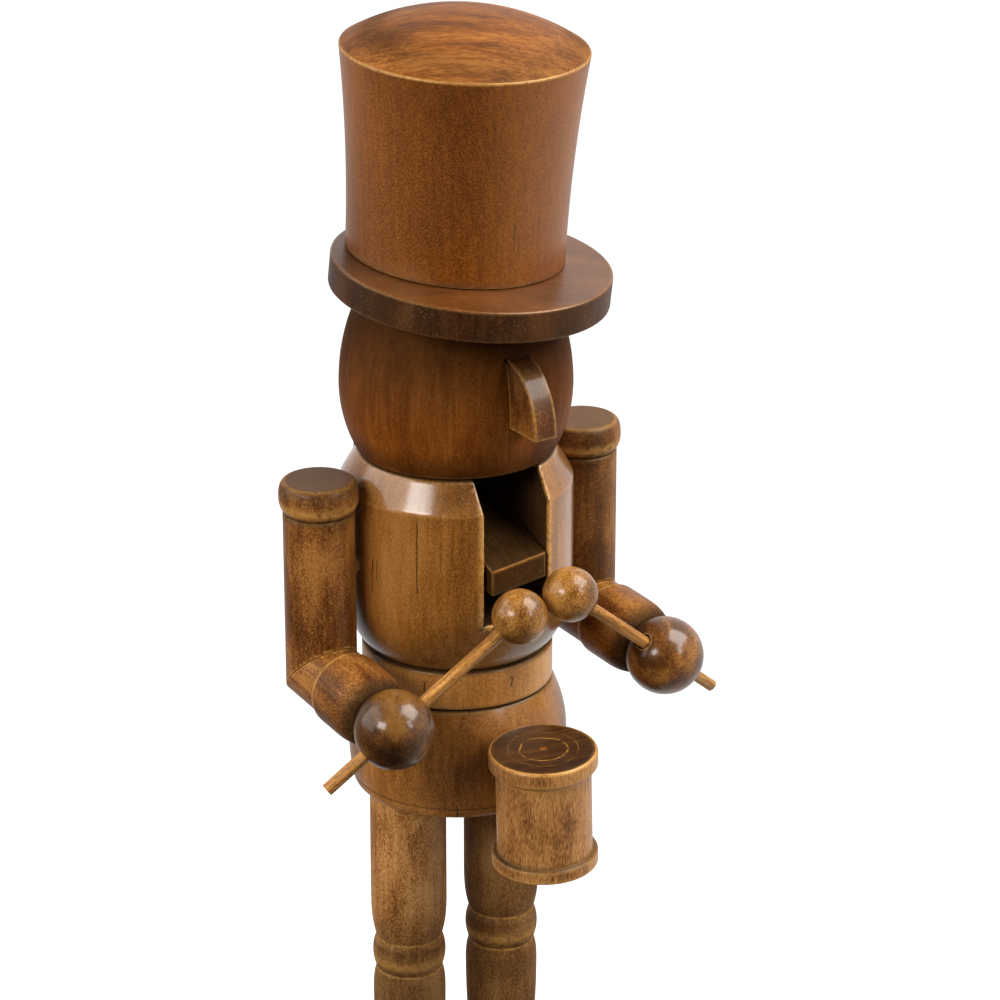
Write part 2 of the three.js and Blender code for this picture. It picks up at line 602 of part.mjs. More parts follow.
nutcracker.add(piece('torso', makeTorso(), FINISH.torso));
for (const [name, side] of SIDES) {
  const neckDowel = rod(NECK_DOWEL_RADIUS, NECK_DOWEL_LENGTH);
  nutcracker.add(piece(`${name}_neck_dowel`, neckDowel, FINISH.bare, neckDowelPlace(side)));
}
const pinChord = Math.sqrt(TORSO_RADIUS ** 2 - PIVOT_SETBACK ** 2);
const jawPin = rod(JAW_PIN_RADIUS, 2 * (pinChord - JAW_PIN_RECESS));
nutcracker.add(piece('jaw_pin', jawPin, FINISH.bare, jawPinPlace));

// Jaw lever: one sawn outline of (y, z) round its pin. It is drawn closed, where the handle hangs
// straight down the torso's back, and swung open. Only the front end is square in the open pose.
function makeJaw() {
  const swing = ([y, z]) => new THREE.Vector2(y, z).rotateAround(new THREE.Vector2(), rad(JAW_OPENING));
  const closedSlope = rad(JAW_OPENING - JAW_SLOPE);
  const topAt = (y) => [y, JAW_OVER_PIN / Math.cos(closedSlope) - y * Math.tan(closedSlope)];
  const front = -(TORSO_RADIUS - JAW_FRONT_INSET + PIVOT_SETBACK);
  const frontTop = JAW_OVER_PIN / Math.cos(rad(JAW_SLOPE)) + front * Math.tan(rad(JAW_SLOPE));
  const inner = TORSO_RADIUS - PIVOT_SETBACK + HANDLE_GAP;
  const outer = inner + HANDLE_THICKNESS;
  const tip = -HANDLE_LENGTH;
  const tipEdge = tip + HANDLE_THICKNESS / 2;
  const outline = new THREE.Shape().moveTo(front, frontTop).lineTo(front, frontTop - JAW_FRONT_HEIGHT);
  const goTo = (point) => outline.lineTo(...swing(point));
  const roundTo = (corner, point) => outline.quadraticCurveTo(...swing(corner), ...swing(point));
  goTo([0, -JAW_UNDER_PIN]);
  roundTo([inner, -JAW_UNDER_PIN], [inner, -JAW_UNDER_PIN - HANDLE_BEND]);
  goTo([inner, tipEdge]);
  roundTo([inner, tip], [inner + HANDLE_THICKNESS / 2, tip]);
  roundTo([outer, tip], [outer, tipEdge]);
  goTo([outer, -HANDLE_BEND]);
  roundTo(topAt(outer), topAt(outer - HANDLE_BEND));
  const blank = sawn(outline, SLOT_WIDTH - 2 * JAW_SIDE_PLAY);
  const pinHole = rod(JAW_PIN_RADIUS + PIVOT_FIT, REACH).rotateY(Math.PI / 2);
  const waste = handleWaste(inner - HANDLE_GAP / 2);
  return cut(blank, pinHole, moved(waste, place(0, 0, 0, rad(JAW_OPENING))));
}

// The wood sawn off both sides of the handle, which tapers to a round tip.
function handleWaste(shoulder) {
  const topHalf = HANDLE_TOP_WIDTH / 2;
  const tipHalf = HANDLE_TIP_WIDTH / 2;
  const face = new THREE.Shape()
    .moveTo(topHalf, REACH)
    .lineTo(-topHalf, REACH)
    .lineTo(-topHalf, 0)
    .lineTo(-tipHalf, tipHalf - HANDLE_LENGTH)
    .absarc(0, tipHalf - HANDLE_LENGTH, tipHalf, Math.PI, 2 * Math.PI, false)
    .lineTo(topHalf, 0);
  const kept = thick(face, REACH).rotateX(Math.PI / 2).translate(0, REACH / 2, 0);
  const behind = block(REACH, REACH, REACH).translate(0, shoulder + REACH / 2, 0);
  return cut(behind, kept);
}

nutcracker.add(piece('jaw_lever', makeJaw(), FINISH.jaw, place(0, PIVOT_SETBACK, pivotHeight)));

// Hat: brim and crown in one tilted group, seated on the head's sawn top. The crown stands a little
// out of square to the brim, so its foot is sawn off along the brim.
const hatPlace = place(0, 0, headTop, rad(HAT_TILT), rad(HAT_LEAN));
const hatDowelLength = 2 * HAT_DOWEL_DEPTH + BRIM_THICKNESS + 2 * GLUE_LINE;
const hatDowelPlace = place(0, 0, GLUE_LINE + BRIM_THICKNESS / 2);
const hatBore = moved(bore(HAT_DOWEL_RADIUS, hatDowelLength), hatDowelPlace);

function makeBrim() {
  const profile = new THREE.Path()
    .moveTo(0, 0)
    .lineTo(BRIM_RADIUS - BRIM_EDGE, 0)
    .lineTo(BRIM_RADIUS, BRIM_EDGE)
    .lineTo(BRIM_RADIUS, BRIM_THICKNESS - BRIM_EDGE)
    .lineTo(BRIM_RADIUS - BRIM_EDGE, BRIM_THICKNESS)
    .lineTo(0, BRIM_THICKNESS);
  return cut(turned(profile, TRUNK_SIDES).translate(0, -BRIM_FORWARD, GLUE_LINE), hatBore);
}

function makeCrown() {
  const domeRadius = (CROWN_RIM_RADIUS ** 2 + CROWN_DOME ** 2) / (2 * CROWN_DOME);
  const domeCentre = CROWN_HEIGHT + CROWN_DOME - domeRadius;
  const rimAngle = Math.acos(CROWN_RIM_RADIUS / domeRadius);
  const waste = CROWN_RADIUS * Math.tan(rad(CROWN_TILT + CROWN_LEAN));
  const profile = new THREE.Path()
    .moveTo(0, -waste)
    .lineTo(CROWN_RADIUS, -waste)
    .lineTo(CROWN_RADIUS, 0)
    .quadraticCurveTo(CROWN_RADIUS, CROWN_HEIGHT / 2, CROWN_RIM_RADIUS, CROWN_HEIGHT)
    .absarc(0, domeCentre, domeRadius, rimAngle, Math.PI / 2, false);
  const seat = BRIM_THICKNESS + 2 * GLUE_LINE;
  const stand = place(0, CROWN_SETBACK, seat, -rad(CROWN_TILT), -rad(CROWN_LEAN));
  return cut(moved(turned(profile, TRUNK_SIDES), stand), halfSpace(-1).translate(0, 0, seat), hatBore);
}

const hat = groupAt(hatPlace);
hat.add(piece('hat_brim', makeBrim(), FINISH.brim));
hat.add(piece('hat_crown', makeCrown(), FINISH.crown));
const hatDowel = rod(HAT_DOWEL_RADIUS, hatDowelLength);
hat.add(piece('hat_dowel', hatDowel, FINISH.bare, hatDowelPlace));
nutcracker.add(hat);

// Head: two part-ellipses that meet at the widest ring, sawn off square to the hat.
function headBlank(swell) {
  const lowerAxis = HEAD_SWELL_HEIGHT / Math.sqrt(1 - (NECK_RADIUS / HEAD_RADIUS) ** 2);
  const neckAngle = Math.asin(HEAD_SWELL_HEIGHT / lowerAxis);
  const radius = HEAD_RADIUS + swell;
  const profile = new THREE.Path()
    .moveTo(0, 0)
    .lineTo(radius * Math.cos(neckAngle), 0)
    .absellipse(0, HEAD_SWELL_HEIGHT, radius, lowerAxis, -neckAngle, 0, false)
    .absellipse(0, HEAD_SWELL_HEIGHT, radius, HEAD_UPPER_AXIS, 0, Math.PI / 2, false);
  return turned(profile, TRUNK_SIDES).translate(0, 0, headBottom);
}

function makeHead() {
  const saw = moved(halfSpace(1), hatPlace);
  return cut(headBlank(0), saw, moved(hatBore, hatPlace), ...neckBores);
}

// Nose: a quarter of an ellipse in side view, its back shaped to the head.
function makeNose() {
  const back = -(HEAD_RADIUS - NOSE_SINK);
  const outline = new THREE.Shape()
    .absellipse(back, 0, NOSE_LENGTH, NOSE_HEIGHT, Math.PI, Math.PI / 2, true)
    .lineTo(0, NOSE_HEIGHT)
    .lineTo(0, 0);
  const blank = sawn(outline, NOSE_WIDTH).translate(0, 0, headBottom + NOSE_RISE);
  return cut(blank, headBlank(GLUE_LINE));
}

nutcracker.add(piece('head', makeHead(), FINISH.head));
nutcracker.add(piece('nose', makeNose(), FINISH.ball));

export default nutcracker;
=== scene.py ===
# %% [markdown]
# # A wooden drummer nutcracker
# Every piece of this figure was made on a bench in one of three ways: turned on a lathe, sawn to
# an outline, or drilled. The lesson makes them in the same three ways with bmesh, and then stains
# and varnishes them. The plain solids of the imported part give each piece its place.

# %% Open the shared frame
from math import asin, cos, degrees, pi, radians, sin, sqrt, tan, tau

import bmesh
import bpy
from mathutils import Matrix, Vector


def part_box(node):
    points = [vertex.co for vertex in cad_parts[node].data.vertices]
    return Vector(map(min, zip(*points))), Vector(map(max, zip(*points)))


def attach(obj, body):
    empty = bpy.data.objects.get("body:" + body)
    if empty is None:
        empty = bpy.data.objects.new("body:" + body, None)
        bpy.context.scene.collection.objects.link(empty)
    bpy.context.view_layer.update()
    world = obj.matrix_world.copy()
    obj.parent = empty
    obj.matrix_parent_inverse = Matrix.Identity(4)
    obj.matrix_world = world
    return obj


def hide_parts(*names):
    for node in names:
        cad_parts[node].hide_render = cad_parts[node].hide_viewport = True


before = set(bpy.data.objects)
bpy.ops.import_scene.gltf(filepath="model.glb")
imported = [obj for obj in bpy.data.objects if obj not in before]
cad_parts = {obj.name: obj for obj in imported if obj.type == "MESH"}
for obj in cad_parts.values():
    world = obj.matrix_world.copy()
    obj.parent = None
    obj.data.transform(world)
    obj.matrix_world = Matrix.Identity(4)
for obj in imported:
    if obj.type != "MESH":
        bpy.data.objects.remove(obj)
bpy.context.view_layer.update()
scene = bpy.context.scene
MM = 0.001  # the frame is in metres, and a bench works in millimetres

# %% [markdown]
# ## The camera
# The photograph was taken with a long lens from a little above the hat's brim, so the figure's
# sides stay nearly parallel. The place and the lens were found by matching the round rims of the
# hat, the shoulders, the drum and the knees: a circle seen at a slant is an ellipse, and its
# flatness gives the height of the eye.

# %% Set the camera
camera = bpy.data.objects.new("camera", bpy.data.cameras.new("camera"))
camera.data.lens = 144  # millimetres, on the usual 36 mm sensor
camera.location = (-0.5478, -0.8710, 0.6380)
camera.rotation_euler = (radians(67.64), 0, radians(-32.84))
scene.collection.objects.link(camera)
scene.camera = camera
print(f"camera {camera.location.length:.2f} m from the base")

# %% [markdown]
# ## Light and floor
# The twin spots on every ball say that two lamps stood left and right of the camera. A lamp's spot
# on a ball lies halfway between the ways to the eye and to the lamp, which gives each lamp's
# direction. The hat is hazy on its flanks, most of all on the right one, and clear in the middle:
# white screens stood at the sides, and the room was dark in front, to the left of the camera. Floor
# and world make the white around the figure. The camera sees it everywhere, and mirror rays see it
# on all sides but the dark one. A light path node gives the wood itself a lower level of light, so
# that colours come out as written.

# %% Add lamps and screens
scene.view_settings.view_transform = "Standard"
MIDDLE = Vector((0, 0, 0.25))
LAMPS = {  # direction from the figure; distance, width and height in metres; power in watts
    "lamp_left": ((-0.851, -0.263, 0.454), 1.2, 0.50, 0.34, 8.8),
    "lamp_right": ((0.307, -0.837, 0.454), 1.2, 0.24, 0.45, 3.2),
    "screen_left": ((-0.800, 0.425, 0.420), 0.6, 0.60, 0.60, 3.0),
    "screen_right": ((0.520, -0.400, 0.755), 0.5, 0.40, 0.40, 4.8),
}
for name, (way, distance, width, height, power) in LAMPS.items():
    lamp = bpy.data.objects.new(name, bpy.data.lights.new(name, "AREA"))
    lamp.data.energy = power
    lamp.data.shape = "RECTANGLE"
    lamp.data.size, lamp.data.size_y = width, height
    lamp.location = MIDDLE + Vector(way) * distance
    lamp.rotation_euler = Vector(way).to_track_quat("Z", "Y").to_euler()
    scene.collection.objects.link(lamp)
print(f"{len(LAMPS)} lamps and screens")


# %% Write the tools for nodes
def add(tree, kind, inputs=(), **settings):
    """Add a node. Inputs go by name or number: a node or a socket is linked, and a value is set."""
    node = tree.nodes.new(kind)
    for key, value in settings.items():
        setattr(node, key, value)
    for key, value in dict(inputs).items():
        if isinstance(value, bpy.types.Node):
            value = next(socket for socket in value.outputs if socket.enabled)
        if isinstance(value, bpy.types.NodeSocket):
            tree.links.new(value, node.inputs[key])
        else:
            node.inputs[key].default_value = value
    return node


def linear(code):
    """The linear colour of an sRGB hex code."""
    parts = [int(code[i:i + 2], 16) / 255 for i in (1, 3, 5)]
    return [c / 12.92 if c <= 0.04045 else ((c + 0.055) / 1.055) ** 2.4 for c in parts] + [1]


# %% Make the white room
ROOM_LIGHT = 0.18
DARK_SIDE = (-0.955, -0.295, 0)
DARK_EDGE = 0.6  # how near to the dark side's middle the white has gone, as a cosine


def white_around(tree, way):
    """The share of white that a ray sees: all from the camera, and in a mirror all but the dark side."""
    way = add(tree, "ShaderNodeVectorMath", {0: way}, operation="NORMALIZE")
    ahead = add(tree, "ShaderNodeVectorMath", {0: way, 1: DARK_SIDE}, operation="DOT_PRODUCT")
    beside = add(tree, "ShaderNodeMapRange", {
        "Value": ahead, "From Min": DARK_EDGE, "From Max": -DARK_EDGE})
    path = add(tree, "ShaderNodeLightPath").outputs
    mirror = add(tree, "ShaderNodeMath", {
        0: path["Is Glossy Ray"], 1: path["Is Transmission Ray"]}, operation="MAXIMUM")
    mirror = add(tree, "ShaderNodeMath", {0: mirror, 1: beside}, operation="MULTIPLY")
    return add(tree, "ShaderNodeMath", {0: mirror, 1: path["Is Camera Ray"]}, operation="MAXIMUM")


room = bpy.data.worlds.new("white room")
room.use_nodes = True
scene.world = room
tree = room.node_tree
tree.nodes.clear()
white = white_around(tree, add(tree, "ShaderNodeTexCoord").outputs["Generated"])
on_wood = add(tree, "ShaderNodeLightPath").outputs["Is Diffuse Ray"]
level = add(tree, "ShaderNodeMath", {0: on_wood, 1: ROOM_LIGHT, 2: white}, operation="MULTIPLY_ADD")
add(tree, "ShaderNodeOutputWorld", {
    "Surface": add(tree, "ShaderNodeBackground", {"Strength": level, "Color": (1, 1, 1, 1)})})
print(f"room light {ROOM_LIGHT}")

# %% Make the floor
# Painted board, rolled on: flat, pale and without gloss. Near the figure it glows a little less than
# the backdrop, which leaves room for its shadow. Mirror rays see only that glow, so the dark side
# stays dark in the varnish.
FLOOR_HALF, SHADOW_REACH, BACKDROP = 4.0, 0.4, 1.2
BOARD_GREY, NEAR_GLOW = 0.35, 0.85
board = bpy.data.materials.new("pale painted board")
board.use_nodes = True
tree = board.node_tree
paint = tree.nodes["Principled BSDF"]
paint.inputs["Roughness"].default_value = 0.9
paint.inputs["Specular IOR Level"].default_value = 0.0
paint.inputs["Emission Color"].default_value = (1, 1, 1, 1)
in_mirror = add(tree, "ShaderNodeLightPath").outputs["Is Glossy Ray"]
grey = add(tree, "ShaderNodeMapRange", {"Value": in_mirror, "To Min": BOARD_GREY, "To Max": 0.0})
tree.links.new(grey.outputs[0], paint.inputs["Base Color"])
spot = add(tree, "ShaderNodeTexCoord").outputs["Object"]
away = add(tree, "ShaderNodeVectorMath", {0: spot}, operation="LENGTH")
glow = add(tree, "ShaderNodeMapRange", {
    "Value": away, "From Min": SHADOW_REACH, "From Max": BACKDROP, "To Min": NEAR_GLOW})
glow = add(tree, "ShaderNodeMath", {0: glow, 1: white_around(tree, spot)}, operation="MULTIPLY")
tree.links.new(glow.outputs[0], paint.inputs["Emission Strength"])
bm = bmesh.new()
bmesh.ops.create_grid(bm, x_segments=1, y_segments=1, size=FLOOR_HALF)
mesh = bpy.data.meshes.new("floor")
bm.to_mesh(mesh)
bm.free()
mesh.materials.append(board)
floor = bpy.data.objects.new("floor", mesh)
scene.collection.objects.link(floor)
print(f"floor {2 * FLOOR_HALF:.0f} m wide")

# %% [markdown]
# ## Stain and varnish
# The wood is a pale, close-grained hardwood such as birch, wiped with walnut stain and varnished.
# Its fibres are hair-fine, so the eye mostly sees how unevenly the stain went in: fine mottling,
# soft blotches, short dark flecks in the pores, and nearly black end grain. It rubs off the rims,
# which show as golden lines, and pools in joints, where it dries dull. All of this is a solid
# pattern, as real wood is: one block of noise, stretched along the grain, so tops, sides and sawn
# faces agree without any unwrapping. Two attributes, worn_and_highlight and grime_and_shade, are
# kept on each mesh for its rims and joints. They also carry painted highlights in a few grooves
# and painted shade on some pieces. The light that comes back from the fibres is golden, and the
# varnish over them adds a white one.

# %% Write the wood's marks
# PITCH is the near-black of pooled stain and cracks, and also of painted shade. GOLD is rubbed wood, and also
# the painted highlights in a few grooves.
GOLD, DUST, PITCH = "#c08c46", "#b9a37a", "#150a03"
FIBRE_SHINE = "#ffd9a3"
FIBRE = 0.33  # all widths are in millimetres; real fibres are finer, but the picture couldn't show them
STREAK, PORE, DUST_GRAIN, DUST_PATCH = 1.2, 0.4, 0.45, 6
GOLD_SPOT, VARNISH_WAVE, RELIEF = 1.4, 1.6, 0.07
RING_WAVE, RING_WAVER, RING_BREAK = 5, 1.6, 2.5
CRACK_WAVE, CRACK_WAVER = 9, 3
DARKEST, DULLED, COAT_ROUGHNESS = 0.85, 0.4, 0.18  # shares, not widths
TONE_STOPS = (0.28, 0.5, 0.72)  # noise keeps near its middle, so the three tones do too


def marks(tree, block, width, drawn_out, detail):
    """Soft marks about as wide as given, drawn out along the grain."""
    vector = add(tree, "ShaderNodeVectorMath", {0: block, 1: (1, 1, 1 / drawn_out)}, operation="MULTIPLY")
    return add(tree, "ShaderNodeTexNoise", {"Vector": vector, "Scale": 1 / width, "Detail": detail})


def growth_rings(tree, block, place, centre, circles):
    """Wavering rings on a sawn end, from a radius, half a width and a colour each."""
    for radius, half, code in circles:
        flat = add(tree, "ShaderNodeVectorMath", {
            0: place, 1: (1 / MM, 1 / MM, 0), 2: (-centre[0], -centre[1], 0)}, operation="MULTIPLY_ADD")
        away = add(tree, "ShaderNodeVectorMath", {0: flat}, operation="LENGTH")
        away = add(tree, "ShaderNodeMath", {
            0: marks(tree, block, RING_WAVE, 1, 2), 1: RING_WAVER, 2: away}, operation="MULTIPLY_ADD")
        ring = add(tree, "ShaderNodeMath", {
            0: away, 1: radius + RING_WAVER / 2, 2: half}, operation="COMPARE")
        yield add(tree, "ShaderNodeMapRange", {
            "Value": marks(tree, block, RING_BREAK, 1, 3), "From Min": 0.35, "From Max": 0.55,
            "To Max": ring}), code


def hairlines(tree, block, cracks):
    """Drying cracks, from an azimuth, a lowest and a highest point, and half a width each."""
    for azimuth, low, high, half in cracks:
        line = radians(azimuth)
        across = add(tree, "ShaderNodeVectorMath", {
            0: block, 1: (cos(line), sin(line), 0)}, operation="DOT_PRODUCT")
        across = add(tree, "ShaderNodeMath", {
            0: marks(tree, block, CRACK_WAVE, 3, 4), 1: CRACK_WAVER, 2: across}, operation="MULTIPLY_ADD")
        ahead = add(tree, "ShaderNodeVectorMath", {
            0: block, 1: (sin(line), -cos(line), 0)}, operation="DOT_PRODUCT")
        height = add(tree, "ShaderNodeSeparateXYZ", {0: block}).outputs["Z"]
        crack = add(tree, "ShaderNodeMath", {0: across, 1: CRACK_WAVER / 2, 2: half}, operation="COMPARE")
        front = add(tree, "ShaderNodeMath", {0: ahead, 1: 0}, operation="GREATER_THAN")
        crack = add(tree, "ShaderNodeMath", {0: crack, 1: front}, operation="MULTIPLY")
        inside = add(tree, "ShaderNodeMath", {
            0: height, 1: (low + high) / 2, 2: (high - low) / 2}, operation="COMPARE")
        yield add(tree, "ShaderNodeMath", {0: crack, 1: inside}, operation="MULTIPLY"), PITCH


# %% Write the wood finish
def stained(name, tones, grain=(0, 0, 1), centre=(0, 0, 0), size=16, figure=2, blotch=0.8, fibre=0.7,
            stretch=2, streak=0.3, fleck=0.3, speck=0, circles=(), cracks=(), end_tone=None, worn_and_highlight=0.8,
            rough=0.4, shine=0.5, coat=0.35):
    """Wood in three tones of stain. Its grain is turned onto Z, and its centre to the origin."""
    material = bpy.data.materials.new(name)
    material.use_nodes = True
    tree = material.node_tree
    shader = tree.nodes["Principled BSDF"]
    turn = Vector(grain).rotation_difference(Vector((0, 0, 1))).to_euler()
    here = add(tree, "ShaderNodeTexCoord").outputs
    block = add(tree, "ShaderNodeMapping", {
        "Vector": here["Object"], "Rotation": turn, "Scale": [1 / MM] * 3,
        "Location": turn.to_matrix() @ -Vector(centre)})

    # Tone: fine mottling, streaks and soft blotches.
    fibres = marks(tree, block, FIBRE, stretch, 2)
    clouds = marks(tree, block, size, figure, 4)
    tone = add(tree, "ShaderNodeMath", {
        0: fibres, 1: fibre, 2: 0.5 - (fibre + streak + blotch) / 2}, operation="MULTIPLY_ADD")
    for pattern, share in ((marks(tree, block, STREAK, 14, 2), streak), (clouds, blotch)):
        tone = add(tree, "ShaderNodeMath", {0: pattern, 1: share, 2: tone}, operation="MULTIPLY_ADD")
    colour = add(tree, "ShaderNodeValToRGB", {"Fac": tone})
    colour.color_ramp.elements.new(0.5)
    for stop, place, code in zip(colour.color_ramp.elements, TONE_STOPS, tones):
        stop.position = place
        stop.color = linear(code)

    # Pores take up stain as short flecks, in patches, and dust stays in others.
    patches = add(tree, "ShaderNodeMapRange", {
        "Value": clouds, "From Min": 0.6, "From Max": 0.42, "To Max": fleck})
    pores = add(tree, "ShaderNodeMapRange", {
        "Value": marks(tree, block, PORE, 3, 1), "From Min": 0.54, "From Max": 0.66, "To Max": patches})
    layers = [(pores, tones[0])]
    if speck:
        patches = add(tree, "ShaderNodeMapRange", {
            "Value": marks(tree, block, DUST_PATCH, 1, 2), "From Min": 0.45, "From Max": 0.6,
            "To Max": speck})
        dust = add(tree, "ShaderNodeMapRange", {
            "Value": marks(tree, block, DUST_GRAIN, 1, 1), "From Min": 0.62, "From Max": 0.68,
            "To Max": patches})
        layers.append((dust, DUST))

    # End grain drinks the stain. Growth rings and cracks lie over it.
    if end_tone:
        facing = add(tree, "ShaderNodeMapping", {
            "Vector": here["Normal"], "Rotation": turn}, vector_type="VECTOR")
        facing = add(tree, "ShaderNodeSeparateXYZ", {0: facing}).outputs["Z"]
        ends = add(tree, "ShaderNodeMath", {0: facing}, operation="ABSOLUTE")
        ends = add(tree, "ShaderNodeMapRange", {
            "Value": ends, "From Min": 0.8, "From Max": 0.97, "To Max": DARKEST})
        layers.append((ends, end_tone))
    layers += growth_rings(tree, block, here["Object"], centre, circles)
    layers += hairlines(tree, block, cracks)

    # Joints are dark with pooled stain, and painted shade is laid on in the same dark. Rims are rubbed
    # to gold, unevenly, and a few grooves get painted highlights in the same gold.
    grime_and_shade = add(tree, "ShaderNodeAttribute", attribute_name="grime_and_shade").outputs["Fac"]
    layers.append((add(tree, "ShaderNodeMapRange", {"Value": grime_and_shade, "To Max": DARKEST}), PITCH))
    rubbed_and_highlit = add(tree, "ShaderNodeAttribute", attribute_name="worn_and_highlight").outputs["Fac"]
    rubbed_and_highlit = add(tree, "ShaderNodeMapRange", {"Value": rubbed_and_highlit, "To Max": worn_and_highlight})
    rubbed_and_highlit = add(tree, "ShaderNodeMapRange", {
        "Value": marks(tree, block, GOLD_SPOT, 1, 3), "From Min": 0.25, "From Max": 0.55,
        "To Max": rubbed_and_highlit})
    layers.append((rubbed_and_highlit, GOLD))
    for share, code in layers:
        colour = add(tree, "ShaderNodeMix", {0: share, 6: colour, 7: linear(code)}, data_type="RGBA")
    tree.links.new(colour.outputs[2], shader.inputs["Base Color"])

    # Varnish: a soft sheen that follows the fibres, dull where stain pooled and where shade is
    # painted, under a thin, clearer coat that isn't quite level.
    sheen = add(tree, "ShaderNodeMath", {0: fibres, 1: 0.2, 2: rough - 0.1}, operation="MULTIPLY_ADD")
    sheen = add(tree, "ShaderNodeMath", {0: grime_and_shade, 1: DULLED, 2: sheen}, operation="MULTIPLY_ADD")
    tree.links.new(sheen.outputs[0], shader.inputs["Roughness"])
    level = add(tree, "ShaderNodeMath", {
        0: marks(tree, block, VARNISH_WAVE, 1, 1), 1: 0.8, 2: fibres}, operation="MULTIPLY_ADD")
    bump = add(tree, "ShaderNodeBump", {"Height": level, "Strength": 0.5, "Distance": RELIEF * MM})
    tree.links.new(bump.outputs[0], shader.inputs["Normal"])
    shader.inputs["Specular IOR Level"].default_value = shine
    shader.inputs["Specular Tint"].default_value = linear(FIBRE_SHINE)
    shader.inputs["Coat Weight"].default_value = coat
    shader.inputs["Coat Roughness"].default_value = COAT_ROUGHNESS
    print(f"{name}: {len(tree.nodes)} nodes")
    return material


# %% [markdown]
# ## The bench: lathe and sandpaper
# A lathe is a spin: a profile of radius and height goes once round the axis. Long straight runs
# of a profile are divided first, so that the mesh has rings close to every rim and a worn line
# there stays narrow. Sandpaper is a bevel over every sharp edge. After it, the angle at each edge
# tells how exposed it is: a rim that turns outwards gets worn, and a groove that turns inwards
# gathers grime. On the drum its grooves get a painted highlight instead. Bands round a piece add
# what the stain did by itself, and also painted highlights and painted shade.

# %% Write the lathe
SPIN_STEPS = 96
RING_GAP = 1.2
WELD = 1e-6


def on_bend(start, corner, end, share):
    """A point on the curve that leaves start towards corner and comes into end from it."""
    first = Vector(start).lerp(Vector(corner), share)
    return first.lerp(Vector(corner).lerp(Vector(end), share), share)


def bend(start, corner, end, count=14):
    """The points of such a curve."""
    return [on_bend(start, corner, end, k / (count - 1)) for k in range(count)]


def turned(profile, steps=SPIN_STEPS):
    """Turn a profile of (radius, height) in millimetres, from the axis below to the axis above."""
    bm = bmesh.new()
    line = [bm.verts.new((r * MM, 0, z * MM)) for r, z in profile]
    for ends in zip(line, line[1:]):
        if (ends[0].co - ends[1].co).length > WELD:
            bm.edges.new(ends)
    for edge in bm.edges[:]:
        cuts = round(edge.calc_length() / (RING_GAP * MM)) - 1
        if cuts > 0:
            bmesh.ops.subdivide_edges(bm, edges=[edge], cuts=cuts)
    bmesh.ops.spin(bm, geom=bm.verts[:] + bm.edges[:], cent=(0, 0, 0), axis=(0, 0, 1), angle=tau,
                   steps=steps, use_merge=True)
    bmesh.ops.remove_doubles(bm, verts=bm.verts[:], dist=WELD)
    bmesh.ops.recalc_face_normals(bm, faces=bm.faces[:])
    return bm


# %% Write the sandpaper and its traces
SHARP = radians(24)
WEAR_START, WEAR_RISE = 8, 4  # degrees between two faces


def sanded(bm, width, segments=3, border=0):
    """Round every sharp edge, and mark a border on the faces between them, in millimetres."""
    sharp = [e for e in bm.edges if len(e.link_faces) == 2 and e.calc_face_angle() > SHARP]
    rounds = bmesh.ops.bevel(bm, geom=sharp, offset=width * MM, offset_type="OFFSET", segments=segments,
                             profile=0.5, affect="EDGES", material=-1)["faces"]
    if border:
        rounds = set(rounds)
        flats = [f for f in bm.faces if f not in rounds]
        bmesh.ops.inset_region(bm, faces=flats, thickness=border * MM, use_boundary=True,
                               use_even_offset=True)


def band(height, middle, reach, depth):
    """How strong a band is at a height: its depth in the middle, and nothing at its reach."""
    share = max(0, 1 - abs(height - middle) / reach)
    return depth * share * share * (3 - 2 * share)


def marked(bm, dark, pale, groove):
    """Note on each corner its wear and painted highlight, and its grime and painted shade, from its edges and
    from bands round the piece.
    """
    worn_and_highlight, grime_and_shade = (bm.verts.layers.float.new(name) for name in ("worn_and_highlight", "grime_and_shade"))
    for edge in bm.edges:
        if len(edge.link_faces) == 2:
            turn = degrees(edge.calc_face_angle_signed())
            share = min(1, max(0, (abs(turn) - WEAR_START) / WEAR_RISE))
            layer = worn_and_highlight if turn > 0 or groove == "worn_and_highlight" else grime_and_shade
            for vert in edge.verts:
                vert[layer] = max(vert[layer], share)
    for vert in bm.verts:
        height = vert.co.z / MM
        vert[grime_and_shade] = max([vert[grime_and_shade], *(band(height, *line) for line in dark)])
        vert[worn_and_highlight] = max([vert[worn_and_highlight] * (1 - vert[grime_and_shade]), *(band(height, *line) for line in pale)])


# %% Write how a piece is placed
SMOOTH = radians(38)


def levels(node):
    """The lowest and the highest point of a solid, in millimetres."""
    low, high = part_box(node)
    return low.z / MM, high.z / MM


def placed(x, y, z, turn_x=0, turn_y=0, turn_z=0):
    """A place in millimetres, with its turns in degrees."""
    matrix = Matrix.Translation(Vector((x, y, z)) * MM)
    for angle, axis in ((turn_x, "X"), (turn_y, "Y"), (turn_z, "Z")):
        matrix = matrix @ Matrix.Rotation(radians(angle), 4, axis)
    return matrix


def piece(node, bm, *woods, place=Matrix(), body="figure", dark=(), pale=(), groove="grime_and_shade"):
    """Put a finished mesh in its place, to stand for a solid. Bands have a height, a reach and a depth."""
    marked(bm, dark, pale, groove)
    bmesh.ops.transform(bm, matrix=place, verts=bm.verts[:])
    mesh = bpy.data.meshes.new(f"{node}_wood")
    bm.to_mesh(mesh)
    bm.free()
    mesh.shade_smooth()
    mesh.set_sharp_from_angle(angle=SMOOTH)
    for wood in woods:
        mesh.materials.append(wood)
    thing = bpy.data.objects.new(mesh.name, mesh)
    scene.collection.objects.link(thing)
    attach(thing, body)
    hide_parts(node)
    print(f"{thing.name}: {len(mesh.polygons)} faces")


